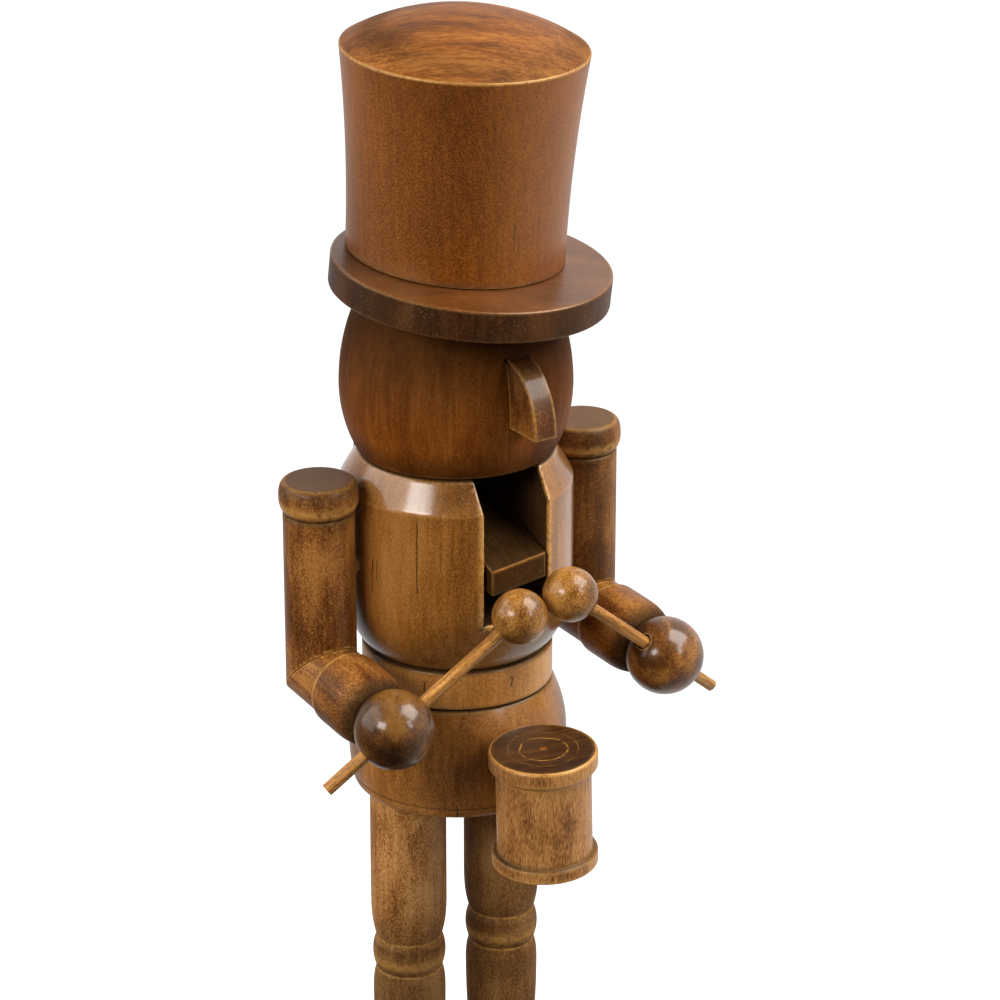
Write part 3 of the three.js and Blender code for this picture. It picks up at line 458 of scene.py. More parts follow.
# %% [markdown]
# ## Base and shoes
# The photograph ends above them, so they are what such figures stand on: a turned plinth with a
# cove, and two shoes cut to a round outline. A shoe starts as a circle whose front half is moved
# forward and made wider. It is then extruded, and its rims are rounded.

# %% Turn the base
# Birch, stained and varnished: an even mid brown with a soft sheen and darker end grain.
plinth_wood = stained("birch in walnut stain, plinth", ("#4c2a0f", "#774820", "#936030"),
                      end_tone="#3a210e")
BASE_RADIUS, BASE_TOP_RADIUS, BASE_STEP = 47, 42, 8
low, high = levels("base")
cove = bend((BASE_RADIUS, BASE_STEP), (BASE_TOP_RADIUS, BASE_STEP), (BASE_TOP_RADIUS, high))
bm = turned([(0, low), (BASE_RADIUS, low), *cove, (0, high)])
sanded(bm, 0.5)
piece("base", bm, plinth_wood)

# %% Cut the shoes
HEEL, TOE, REACH = 11.5, 12.5, 18
LEG_X, LEG_BACK = 15.8, 1.6
SHOE_ROUND = 2.5
SIDES = (("right", -1), ("left", 1))


def new_verts(result):
    """The corners among what an extrusion has made."""
    return [thing for thing in result["geom"] if isinstance(thing, bmesh.types.BMVert)]


for name, side in SIDES:
    low, high = levels(f"{name}_foot")
    bm = bmesh.new()
    bmesh.ops.create_circle(bm, cap_ends=True, radius=HEEL * MM, segments=64)
    toe = [v for v in bm.verts if v.co.y < -WELD]
    bmesh.ops.scale(bm, vec=[TOE / HEEL] * 3, verts=toe)
    bmesh.ops.translate(bm, vec=(0, -REACH * MM, 0), verts=toe)
    top = bmesh.ops.extrude_face_region(bm, geom=bm.faces[:])
    bmesh.ops.translate(bm, vec=(0, 0, (high - low) * MM), verts=new_verts(top))
    bmesh.ops.recalc_face_normals(bm, faces=bm.faces[:])
    sanded(bm, SHOE_ROUND, 8)
    piece(f"{name}_foot", bm, plinth_wood, place=placed(side * LEG_X, LEG_BACK, low))

# %% [markdown]
# ## Legs
# Each leg is one turning: a shin that swells from the ankle, a bead at the knee between two
# grooves, and a straight thigh. The stain on them is thin, so they are the lightest wood, full of
# short flecks. The pale lines in the grooves are painted highlights. The left leg is darkened with
# painted shade, as a wash that is even from end to end.

# %% Turn the legs
# Birch in thin stain: golden and nearly matt, with dark flecks in patches.
leg_wood = stained("birch in thin walnut stain, legs", ("#6a3d15", "#a36d38", "#c39059"), size=9,
                   fibre=1, fleck=0.6, rough=0.45, shine=0.35, coat=0.0)
ANKLE, SHIN, THIGH, KNEE, GROOVE = 8.6, 10.45, 10.9, 10.5, 9.4
SHIN_LENGTH, KNEE_LENGTH, LEG_LENGTH = 44.1, 10.3, 101.1
SHIN_ROUND, THIGH_ROUND, ROUND_CORNER = 7, 12, 1 / 3
# Painted shade: the left leg is made darker all over.
LEG_SHADE = {"right": 0.0, "left": 0.7}
shin_top, knee_top = SHIN_LENGTH - SHIN_ROUND, SHIN_LENGTH + KNEE_LENGTH
knee_mid, thigh_low = SHIN_LENGTH + KNEE_LENGTH / 2, knee_top + THIGH_ROUND
leg = [(0, 0), *bend((ANKLE, 0), (SHIN, SHIN_LENGTH / 2), (SHIN, shin_top)),
       *bend((SHIN, shin_top), (SHIN, SHIN_LENGTH - ROUND_CORNER * SHIN_ROUND), (GROOVE, SHIN_LENGTH)),
       *bend((GROOVE, SHIN_LENGTH), (2 * KNEE - GROOVE, knee_mid), (GROOVE, knee_top), 24),
       *bend((GROOVE, knee_top), (THIGH, knee_top + ROUND_CORNER * THIGH_ROUND), (THIGH, thigh_low)),
       (THIGH, LEG_LENGTH), (0, LEG_LENGTH)]
KNEE_DARK = ((LEG_LENGTH, 1.6, 1), (knee_top + 2, 7, 0.35), (knee_top - 2.6, 3.4, 0.8),
             (SHIN_LENGTH + 0.9, 1.2, 0.6), (SHIN_LENGTH - 4, 40, 0.75), (0, 1.6, 1))
# In both grooves the thin pale lines are painted highlights. The wider band on the bead's lower half is
# rubbed wear.
KNEE_PALE = ((knee_top, 0.5, 0.9), (SHIN_LENGTH + 3.6, 2.6, 0.6), (SHIN_LENGTH, 0.5, 0.9))


def wash(depth):
    """A band so wide that it is even over a whole piece."""
    return 0, 1000, depth


for name, side in SIDES:
    piece(f"{name}_leg", turned(leg), leg_wood, dark=(*KNEE_DARK, wash(LEG_SHADE[name])), pale=KNEE_PALE,
          place=placed(side * LEG_X, LEG_BACK, levels(f"{name}_leg")[0]))

# %% [markdown]
# ## Hips, waist band and drum
# The hips swell like a tunic's skirt and draw in again below. The band is a plain ring. The drum
# is one bobbin with a flange at each end. Its top is dark end grain, on which a pale growth ring
# goes round the pith, so the rings are centred on the drum's own axis.

# %% Turn the hips and the band
# Birch, stained and varnished: warm brown with soft blotches, and a short drying crack.
hips_wood = stained("birch in walnut stain, hips", ("#58310d", "#8b5521", "#a97337"), fleck=0.4,
                    cracks=((-33, 130, 135, 0.12),))
HIPS, HIPS_TOP, HIPS_FOOT, HIPS_SWELL, HIPS_EDGE = 31, 26.6, 30, 15.4, 3.6
low, high = levels("hips")
height = high - low
bm = turned([(0, 0), *bend((HIPS_FOOT - HIPS_EDGE, 0), (HIPS_FOOT, 0), (HIPS_FOOT, HIPS_EDGE)),
             *bend((HIPS_FOOT, HIPS_EDGE), (HIPS, HIPS_SWELL / 2), (HIPS, HIPS_SWELL)),
             *bend((HIPS, HIPS_SWELL), (HIPS, (HIPS_SWELL + height) / 2), (HIPS_TOP, height)),
             (0, height)])
sanded(bm, 0.7)
piece("hips", bm, hips_wood, place=placed(0, 0, low), dark=((height, 1.5, 1),))

# Birch with less stain: golden between its two dark joints, with two cracks.
band_wood = stained("birch in walnut stain, band", ("#7b4b1c", "#ae7232", "#c48d4b"), fleck=0.4,
                    cracks=((-52, 163, 171, 0.15), (2, 168, 171, 0.25)))
BAND = 26.9
low, high = levels("waist_band")
bm = turned([(0, 0), (BAND, 0), (BAND, high - low), (0, high - low)])
sanded(bm, 0.6, border=0.3)
piece("waist_band", bm, band_wood, place=placed(0, 0, low), dark=((0, 1.2, 1), (high - low, 1.4, 1)))

# %% Turn the drum
DRUM_CENTRE = (-1.2, -45.89, 157.0)
DRUM_LEAN = (1.2, -2.3)
# Birch in thin stain: golden, with long flecks and little varnish.
drum_wood = stained("birch in thin walnut stain, drum", ("#633a18", "#9c6632", "#ba854b"), size=11, fibre=1,
                    stretch=5, fleck=0.6, rough=0.42, coat=0.25)
RINGS = ((6.6, 0.25, "#95692d"), (9.8, 0.15, "#6e4a1e"), (0, 1.1, "#7e4519"))
# End grain drank the stain: nearly black, streaked by the saw, with a pale ring round the pith.
drum_end = stained("birch end grain in walnut stain, drum top", ("#1f0e03", "#361b07", "#513012"),
                   grain=(1, -0.3, 0), centre=DRUM_CENTRE, size=9, figure=4, streak=0.8, stretch=10,
                   circles=RINGS, rough=0.36)
DRUM, DRUM_TOP, DRUM_FOOT, DRUM_HEIGHT = 13.3, 15.2, 14.8, 34.6
TOP_FLANGE, FOOT_FLANGE, FLANGE_EDGE = 4.3, 3.9, 0.5
foot_top = FOOT_FLANGE - DRUM_HEIGHT
bm = turned([(0, -DRUM_HEIGHT), (DRUM_FOOT, -DRUM_HEIGHT), (DRUM_FOOT, foot_top - FLANGE_EDGE),
             (DRUM_FOOT - FLANGE_EDGE, foot_top), (DRUM, foot_top),
             (DRUM, -TOP_FLANGE - DRUM_TOP + DRUM), (DRUM_TOP, -TOP_FLANGE),
             (DRUM_TOP, -FLANGE_EDGE), (DRUM_TOP - FLANGE_EDGE, 0), (0, 0)])
sanded(bm, 0.3)
for face in bm.faces:
    if face.calc_center_median().z > -WELD:
        face.material_index = 1
# The pale lines in its creases are painted highlights, except at the foot, where a dark band covers them.
piece("drum", bm, drum_wood, drum_end, place=placed(*DRUM_CENTRE, *DRUM_LEAN),
      dark=((foot_top, 1.1, 0.9),), groove="worn_and_highlight")

# %% [markdown]
# ## Torso
# The torso is a turned barrel with a chamfered shoulder. The slot for the jaw is sawn down through
# it from front to back. Before the saw, the ring corners nearest to the two cuts slide round the
# barrel onto them, so that the cuts leave no slivers and the sandpaper can round their edges. The
# strip between the cuts is then deleted, and the two walls and the floor are filled. The hole for
# the jaw's pin is a Boolean, which cuts as cleanly as a drill.

# %% Turn the torso
TORSO, TORSO_FOOT, TORSO_ROUND, TORSO_CORNER = 32.5, 25.6, 24, 1 / 4
NECK, CHAMFER = 27.5, 8.6
SLOT_HALF, SLOT_DEPTH = 10.35, 41.6
TORSO_STEPS = 128
low, high = levels("torso")
height = high - low
slot_floor = (height - SLOT_DEPTH) * MM
barrel = bend((TORSO_FOOT, 0), (TORSO, TORSO_CORNER * TORSO_ROUND), (TORSO, TORSO_ROUND), 24)
level = next(k for k, point in enumerate(barrel) if point.y * MM > slot_floor)
share = (slot_floor / MM - barrel[level - 1].y) / (barrel[level].y - barrel[level - 1].y)
barrel[level - 1:level + 1] = [barrel[level - 1].lerp(barrel[level], share)]
bm = turned([(0, 0), *barrel, (TORSO, height - CHAMFER), (NECK, height), (0, height)], TORSO_STEPS)
bmesh.ops.dissolve_faces(bm, faces=[f for f in bm.faces if f.calc_center_median().z > height * MM - WELD])
print(f"barrel of {len(bm.faces)} faces, with a ring at the slot's floor")

# %% Saw the slot
half = SLOT_HALF * MM
for vert in bm.verts:
    x, y, z = vert.co
    if z > slot_floor - WELD and abs(abs(x) - half) < pi / TORSO_STEPS * abs(y):
        y = sqrt(x ** 2 + y ** 2 - half ** 2) * (1 if y > 0 else -1)
        vert.co = (half if x > 0 else -half, y, z)
for x in (-half, half):
    above = [f for f in bm.faces if f.calc_center_median().z > slot_floor]
    geom = {thing for f in above for thing in (f, *f.edges, *f.verts)}
    bmesh.ops.bisect_plane(bm, geom=list(geom), dist=WELD, plane_co=(x, 0, 0), plane_no=(1, 0, 0))
middles = {f: f.calc_center_median() for f in bm.faces}
strip = [f for f, middle in middles.items() if middle.z > slot_floor and abs(middle.x) < half]
bmesh.ops.delete(bm, geom=strip, context="FACES")
rim = [e for e in bm.edges if e.is_boundary]
sills = [e for e in rim if all(abs(v.co.z - slot_floor) < WELD for v in e.verts)]
for x in (-half, half):
    wall = [e for e in rim if all(abs(v.co.x - x) < WELD for v in e.verts)]
    ends = [v for v in {v for e in wall for v in e.verts} if abs(v.co.z - slot_floor) < WELD]
    sills.append(bm.edges.new(ends))
    for face in bmesh.ops.edgeloop_fill(bm, edges=wall + sills[-1:])["faces"]:
        face.material_index = 1
for face in bmesh.ops.edgeloop_fill(bm, edges=sills)["faces"]:
    face.material_index = 1
bmesh.ops.recalc_face_normals(bm, faces=bm.faces[:])
print(f"slot {2 * SLOT_HALF:.1f} mm wide")

# %% Sand and drill the torso
# Birch with the most varnish: long soft figure under a clear gloss, with three drying cracks.
torso_wood = stained("birch in walnut stain, torso", ("#5c330c", "#8b561e", "#a97338"), size=20, figure=4,
                     fleck=0.25, worn_and_highlight=1, rough=0.36, shine=0.35, coat=1.0,
                     cracks=((-51, 200, 221, 0.14), (-78, 197, 207, 0.14), (-75, 201, 207, 0.1)))
# Raw from the saw: rough and without varnish. It is nearly black with stain, and with painted shade
# of the deep slot.
slot_wood = stained("sawn birch in dark stain and painted shade, slot", ("#180a04", "#2c160a", "#47260f"), worn_and_highlight=1, rough=0.7,
                    coat=0.0)
PIVOT = Vector((0, 20, 219.9))
PIN_HOLE, DRILL_LENGTH = 2.65, 100


def drilled(bm, drill):
    """Take a drill's shape out of a mesh."""
    things = []
    for name, shape in (("work", bm), ("drill", drill)):
        mesh = bpy.data.meshes.new(name)
        shape.to_mesh(mesh)
        things.append(bpy.data.objects.new(name, mesh))
        scene.collection.objects.link(things[-1])
    work, tool = things
    hole = work.modifiers.new("hole", "BOOLEAN")
    hole.object = tool
    hole.solver = "EXACT"
    result = bpy.data.meshes.new_from_object(work.evaluated_get(bpy.context.evaluated_depsgraph_get()))
    bm.clear()
    bm.from_mesh(result)
    drill.free()
    for thing in things:
        bpy.data.meshes.remove(thing.data)
    bpy.data.meshes.remove(result)


def cross_drill(radius, place):
    """A drill that lies along X."""
    bm = bmesh.new()
    bmesh.ops.create_cone(bm, cap_ends=True, segments=32, radius1=radius * MM, radius2=radius * MM,
                          depth=DRILL_LENGTH * MM, matrix=place @ Matrix.Rotation(pi / 2, 4, "Y"))
    return bm


sanded(bm, 0.7)
walls = [f for f in bm.faces if f.material_index and len(f.verts) > 4]
bmesh.ops.inset_individual(bm, faces=walls, thickness=0.6 * MM)
drilled(bm, cross_drill(PIN_HOLE, placed(PIVOT.x, PIVOT.y, PIVOT.z - low)))
# Besides the dark joints at both ends, two bands are painted shade: one darker towards the underside, and one
# darker on the chamfer, which faces up.
piece("torso", bm, torso_wood, slot_wood, place=placed(0, 0, low),
      dark=((0, 2, 1), (5, 12, 0.3), (height - CHAMFER / 2, CHAMFER, 0.35), (height, 1.3, 1)))

# %% [markdown]
# ## Jaw lever
# One board is both the lower jaw and the handle. It is drawn with the mouth closed, where the
# handle hangs straight down the back, and swung open round the pin. A box is extruded along it
# from the front of the jaw, section by section: past the pin, narrower where the handle leaves the
# slot, round the bend, down the handle, and in to a rounded tip.

# %% Draw the lever
OPENING, SLOPE = 25, 18.5
OVER_PIN, UNDER_PIN, FRONT_HEIGHT = 4.65, 8.5, 7.3
FRONT, INNER, HANDLE_DEPTH, HANDLE_TIP, HANDLE_BEND = -52, 13.3, 8, -59, 12
HANDLE_TOP_HALF, HANDLE_TIP_HALF, LEVER_HALF = 7.2, 6.3, 9.55
SAW_START = INNER - 0.4
OUTER = INNER + HANDLE_DEPTH
TIP_START, TIP_EDGE = HANDLE_TIP + HANDLE_TIP_HALF, HANDLE_TIP + HANDLE_DEPTH / 2
BEND_SECTIONS = 8
HANDLE_SECTIONS = ((-20, -24), (-28, -32), (-36, -40))  # heights outside and inside
TIP_SECTIONS = (TIP_START, -54.5, -56.0, -57.2, -58.0, -58.5)
closed_slope = radians(OPENING - SLOPE)


def top_at(y):
    """A point on the bar's top, with the mouth closed."""
    return y, OVER_PIN / cos(closed_slope) - y * tan(closed_slope)


def handle_half(z):
    """Half the handle's width at a height."""
    if z < TIP_START:
        return sqrt(HANDLE_TIP_HALF ** 2 - (TIP_START - z) ** 2)
    return HANDLE_TOP_HALF + (HANDLE_TIP_HALF - HANDLE_TOP_HALF) * max(0, -z) / -TIP_START


top_bend = (top_at(OUTER - HANDLE_BEND), top_at(OUTER), (OUTER, -HANDLE_BEND))
under_bend = ((0, -UNDER_PIN), (INNER, -UNDER_PIN), (INNER, -UNDER_PIN - HANDLE_BEND))
top_start = 1 - sqrt(1 - (SAW_START - OUTER + HANDLE_BEND) / HANDLE_BEND)
under_start = 1 - sqrt(1 - SAW_START / INNER)
back_swing = Matrix.Rotation(radians(-OPENING), 2)
front_top = OVER_PIN / cos(radians(SLOPE)) + FRONT * tan(radians(SLOPE))
bar = [(back_swing @ Vector((FRONT, front_top)), back_swing @ Vector((FRONT, front_top - FRONT_HEIGHT))),
       (top_at(0), (0, -UNDER_PIN)),
       (on_bend(*top_bend, top_start), on_bend(*under_bend, under_start))]
handle = [(on_bend(*top_bend, top_start + (1 - top_start) * k / BEND_SECTIONS),
           on_bend(*under_bend, under_start + (1 - under_start) * k / BEND_SECTIONS))
          for k in range(BEND_SECTIONS + 1)]
handle += [((OUTER, outside), (INNER, inside)) for outside, inside in HANDLE_SECTIONS]
for z in TIP_SECTIONS:
    turn_in = (1 - sqrt(1 - max(0, TIP_EDGE - z) / (TIP_EDGE - HANDLE_TIP))) ** 2 * HANDLE_DEPTH / 2
    handle.append(((OUTER - turn_in, z), (INNER + turn_in, z)))
print(f"{len(bar)} sections of the bar and {len(handle)} of the handle")

# %% Extrude the lever
# Sawn, stained dark and hardly varnished: dull, dusty, and nearly black on its end grain.
lever_wood = stained("sawn birch in dark stain, lever", ("#3a2007", "#643b0f", "#825620"),
                     grain=(0, -0.95, -0.32), stretch=5, fleck=0.4, speck=0.5, end_tone="#1a0e05",
                     worn_and_highlight=0.12, rough=0.45, shine=0.15, coat=0.0)
FRONT_SKEW = radians(7.7)  # the front was sawn a little out of square
bm = bmesh.new()
bmesh.ops.create_grid(bm, x_segments=1, y_segments=1, size=1)
face = bm.faces[:][0]
corners = {(v.co.x > 0, v.co.y > 0): v for v in face.verts}
sections = [(pair, lambda z: LEVER_HALF) for pair in bar] + [(pair, handle_half) for pair in handle]
for number, (pair, half_at) in enumerate(sections):
    if number:
        fresh = bmesh.ops.extrude_face_region(bm, geom=[face])
        face = next(thing for thing in fresh["geom"] if isinstance(thing, bmesh.types.BMFace))
        corners = {key: min(face.verts, key=lambda v: (v.co - old.co).length) for key, old in corners.items()}
    for (right, upper), vert in corners.items():
        y, z = pair[0] if upper else pair[1]
        vert.co = Vector((half_at(z) if right else -half_at(z), y, z)) * MM
    if not number:
        along = Vector((0, cos(closed_slope), -sin(closed_slope))) * tan(FRONT_SKEW)
        for vert in face.verts:
            vert.co += along * vert.co.x
bmesh.ops.recalc_face_normals(bm, faces=bm.faces[:])
sanded(bm, 0.45, border=0.5)
drilled(bm, cross_drill(PIN_HOLE, Matrix()))
piece("jaw_lever", bm, lever_wood, place=placed(*PIVOT, OPENING), body="jaw")

# %% [markdown]
# ## Arms
# An upper arm is a dowel with a beaded cap. The forearm steps up to a cuff that rounds in at the
# wrist. The elbow is a mitre: both dowels are turned too long and sawn along the plane that halves
# their angle. A saw is a bisecting plane whose cut is filled again. Everything is made in the
# elbow's own frame and then placed on each side. The left upper arm is darkened with painted shade.

# %% Turn and mitre the arms
ARM_TONES = ("#3f1f08", "#6f3f17", "#a06a31")
# Birch that took the stain in patches: dark flecks on brown, with a thin varnish.
arm_wood = stained("birch in walnut stain, upper arm", ARM_TONES, size=9, figure=2.5, blotch=1, fibre=0.9,
                   fleck=0.6, end_tone="#6f4a2c", shine=0.4, coat=0.1)
# The same wood, with its grain along the forearm and hardly any gloss.
forearm_wood = stained("birch in walnut stain, forearm", ARM_TONES, grain=(0, -1, -0.05), size=9, figure=2.5,
                       blotch=1, fibre=0.9, fleck=0.6, shine=0.25, coat=0.0)
ARM, CAP, CAP_TOP, CAP_HEIGHT, CAP_GROOVE = 9.9, 11, 8.8, 9, 9.4
UPPER_ARM, FOREARM, WRIST, WRIST_ROUND = 56.5, 32.6, 8.2, 9
CUFF, CUFF_LENGTH, CUFF_ROUND = 10.8, 19.6, 2
DROP, SPLAY, GLUE = 3, 1.7, 0.3
ELBOW = (43.2, 1.9, 173.3)
# Painted shade: the left upper arm is made darker all over.
ARM_SHADE = {"right": 0.0, "left": 0.4}
WASTE = 2 * ARM
cap_low, cap_mid = UPPER_ARM - CAP_HEIGHT, UPPER_ARM - CAP_HEIGHT / 2
cuff_low, wrist_low = FOREARM - CUFF_LENGTH, FOREARM - WRIST_ROUND
upper_arm = [(0, -WASTE), (ARM, -WASTE), (ARM, cap_low - ARM + CAP_GROOVE),
             *bend((CAP_GROOVE, cap_low), (CAP, cap_low + ROUND_CORNER * CAP_HEIGHT / 2), (CAP, cap_mid)),
             *bend((CAP, cap_mid), (CAP, UPPER_ARM), (CAP_TOP, UPPER_ARM)), (0, UPPER_ARM)]
forearm = [(0, -WASTE), (ARM, -WASTE),
           *bend((ARM, cuff_low), (CUFF, cuff_low), (CUFF, cuff_low + CUFF_ROUND), 5),
           *bend((CUFF, wrist_low), (CUFF, FOREARM - ROUND_CORNER * WRIST_ROUND), (WRIST, FOREARM)),
           (0, FOREARM)]
to_forearm = Matrix.Rotation(radians(90 + DROP), 4, "X")
mitre_way = Matrix.Rotation(-radians(90 - DROP) / 2, 4, "X") @ Vector((0, 0, 1))
mitre_in_forearm = to_forearm.inverted() @ mitre_way


def arm_place(side):
    """Where an elbow is."""
    x, y, z = ELBOW
    return placed(side * x, y, z, 0, 0, side * SPLAY)


def cut_off(bm, point, normal):
    """Saw off what lies on the normal's side of a plane, and close the cut."""
    cut = bmesh.ops.bisect_plane(bm, geom=bm.verts[:] + bm.edges[:] + bm.faces[:], dist=WELD,
                                 plane_co=point, plane_no=normal, clear_outer=True)["geom_cut"]
    bmesh.ops.edgeloop_fill(bm, edges=[thing for thing in cut if isinstance(thing, bmesh.types.BMEdge)])


for name, side in SIDES:
    bm = turned(upper_arm)
    cut_off(bm, mitre_way * GLUE / 2 * MM, -mitre_way)
    piece(f"{name}_upper_arm", bm, arm_wood, place=arm_place(side),
          dark=((UPPER_ARM - 1, 4, 0.6), (cap_low - 0.3, 0.9, 0.9), wash(ARM_SHADE[name])),
          pale=((cap_low + 2.4, 2.4, 0.9),))
    bm = turned(forearm)
    sanded(bm, 0.4)
    cut_off(bm, -mitre_in_forearm * GLUE / 2 * MM, mitre_in_forearm)
    # Darker towards the wrist: pooled stain, and painted shadow in the gap at the hand.
    piece(f"{name}_forearm", bm, forearm_wood, place=arm_place(side) @ to_forearm,
          dark=((FOREARM, 7, 1),), pale=((cuff_low, 0.8, 1),))

# %% [markdown]
# ## Hands, drumsticks and mallets
# Hands and mallets are turned balls, and the hands are the darkest and glossiest, the right one
# most of all. A hand has a flat for the wrist and a hole right through it, with a countersunk rim.
# The sticks are split reed: a rod of uneven facets with dark fibres along it. A stick points from
# its hand to its mallet, so one direction places the hole, the stick and the mallet together.

# %% Turn the balls and split the sticks
# Birch in a dark stain: big clouds of brown under clear spots of light.
hand_wood = stained("birch in dark walnut stain, hands", ("#351a06", "#623711", "#936126"),
                    grain=(0.3, 0.9, 0.35), size=9, figure=3, blotch=1.6, shine=0.25, coat=0.65)
# Birch, turned small: clouded gold with a gloss.
mallet_wood = stained("birch in walnut stain, mallets", ("#4a290c", "#7f511e", "#a97739"),
                      grain=(0.6, 0.2, 0.7), size=7, blotch=1.1, fibre=0.9, shine=0.3, coat=0.5)
HAND, HAND_FLAT = 11, 7.9
STICK, STICK_HOLE, HOLE_RIM = 1.9, 2.2, 2.6
STICK_FORWARD, STICK_TAIL, STICK_SEAT, SEAT_PLAY = 9.7, 24.4, 4.5, 0.5
STICK_RISE = {"right": 36.2, "left": 38.8}
MALLET, MALLET_GAP = 7.6, 1.2
STICK_SIDES, FACET_DEPTH = 9, 0.06
HAND_STAIN = {"right": 0.5, "left": 0.0}
hand_flat = sqrt(HAND ** 2 - HAND_FLAT ** 2)
in_arm = to_forearm @ placed(0, 0, FOREARM + GLUE + hand_flat)


def ball(radius):
    """A ball, for a flat or a hole to be cut in."""
    bm = bmesh.new()
    bmesh.ops.create_uvsphere(bm, u_segments=96, v_segments=48, radius=radius * MM)
    return bm


def stick_drill(low, high, rim):
    """A drill along Z, with a countersink at its ends that widens it to the rim."""
    sink = rim - STICK_HOLE
    return turned([(0, low - rim), (rim, low - rim), (rim, low), (STICK_HOLE, low + sink),
                   (STICK_HOLE, high - sink), (rim, high), (rim, high + rim), (0, high + rim)], 32)


for name, side in SIDES:
    hand_place = arm_place(side) @ in_arm
    rise, ahead = radians(STICK_RISE[name]), radians(STICK_FORWARD)
    way = Vector((-side * cos(rise) * cos(ahead), -cos(rise) * sin(ahead), sin(rise)))
    stick_turn = Vector((0, 0, 1)).rotation_difference(way).to_matrix().to_4x4()
    stick_place = Matrix.Translation(hand_place.translation) @ stick_turn
    reach = (abs(hand_place.translation.x) / MM - MALLET - MALLET_GAP / 2) / abs(way.x)

    bm = ball(HAND)
    cut_off(bm, (0, 0, -hand_flat * MM), (0, 0, -1))
    drill = stick_drill(-HAND, HAND, HOLE_RIM)
    bmesh.ops.transform(drill, matrix=hand_place.inverted() @ stick_place, verts=drill.verts[:])
    drilled(bm, drill)
    piece(f"{name}_hand", bm, hand_wood, place=hand_place,
          dark=((-hand_flat, 9, 1), wash(HAND_STAIN[name])))

    bm = ball(MALLET)
    drilled(bm, stick_drill(-2 * MALLET, STICK_SEAT + SEAT_PLAY - MALLET, STICK_HOLE))
    piece(f"{name}_mallet", bm, mallet_wood, place=stick_place @ placed(0, 0, reach))

    # Reed, split and left rough: long dark fibres on gold, without gloss.
    reed = stained(f"split reed, {name} stick", ("#572d0b", "#a86a2b", "#ca9150"), grain=way, stretch=40,
                   fibre=1.6, streak=0.6, blotch=0.3, fleck=0.9, worn_and_highlight=0.3, rough=0.5, coat=0.1)
    bm = bmesh.new()
    bmesh.ops.create_circle(bm, cap_ends=True, radius=STICK * MM, segments=STICK_SIDES)
    for k, vert in enumerate(bm.verts):
        vert.co *= 1 - FACET_DEPTH + FACET_DEPTH * sin(2.4 * k + side)
    rod = bmesh.ops.extrude_face_region(bm, geom=bm.faces[:])
    length = STICK_TAIL + reach - MALLET + STICK_SEAT
    bmesh.ops.translate(bm, vec=(0, 0, length * MM), verts=new_verts(rod))
    bmesh.ops.recalc_face_normals(bm, faces=bm.faces[:])
    sanded(bm, 0.25, 2)
    piece(f"{name}_drumstick", bm, reed, place=stick_place @ placed(0, 0, -STICK_TAIL))

# %% [markdown]
# ## Head and nose
# The head is a turned barrel of two part-ellipses that meet at its widest ring. It is sawn off
# under the hat along the hat's own slant. The nose is a small sawn block, a quarter of an ellipse
# seen from the side, whose back follows the head.

# %% Turn the head
# Birch, wiped dull: red-brown with long soft figure. Under the hat it is darkened with the brim's
# painted shadow, and it is darker towards the neck.
head_wood = stained("birch in walnut stain, head", ("#4a2207", "#743b0a", "#965820"), size=14, figure=5,
                    fibre=0.5, fleck=0.2, shine=0.12, coat=0.0)
HEAD, HEAD_SWELL, HEAD_UPPER = 32.3, 18.7, 44
HEAD_TOP, HAT_LEAN = 278.6, (4.2, 3.9)
hat_place = placed(0, 0, HEAD_TOP, *HAT_LEAN)
head_low = levels("head")[0]
head_lower = HEAD_SWELL / sqrt(1 - (NECK / HEAD) ** 2)
neck_angle = asin(HEAD_SWELL / head_lower)
lower = [(HEAD * cos(a), HEAD_SWELL + head_lower * sin(a))
         for a in (neck_angle * (k / 16 - 1) for k in range(17))]
upper = [(HEAD * cos(a), HEAD_SWELL + HEAD_UPPER * sin(a))
         for a in (pi / 2 * k / 32 for k in range(1, 33))]
bm = turned([(0, 0), *lower, *upper])
sanded(bm, 0.7)
under_hat = placed(0, 0, head_low).inverted() @ hat_place
cut_off(bm, under_hat.translation, under_hat.to_3x3() @ Vector((0, 0, 1)))
# The wide band down from the top is the brim's painted shadow. Towards the neck the head is darker, and the
# joint there is dark.
piece("head", bm, head_wood, place=placed(0, 0, head_low),
      dark=((HEAD_TOP - head_low, 52, 1), (0, 14, 0.7), (0, 2, 1)))

# %% Saw the nose
# Birch, sawn and varnished: dark, with gold where its edges were rubbed.
nose_wood = stained("birch in walnut stain, nose", ("#2a1203", "#4f270a", "#7a4c1f"), size=7, fleck=0.4,
                    worn_and_highlight=0.45, rough=0.36, shine=0.25, coat=0.35)
NOSE_WIDTH, NOSE_LENGTH, NOSE_HEIGHT, NOSE_RISE, NOSE_SINK = 7, 14, 19, 15.6, 1.3
NOSE_GAP = 0.15


def head_radius(z):
    """The head's radius at a height above the neck."""
    axis = head_lower if z < HEAD_SWELL else HEAD_UPPER
    return HEAD * sqrt(1 - ((z - HEAD_SWELL) / axis) ** 2)


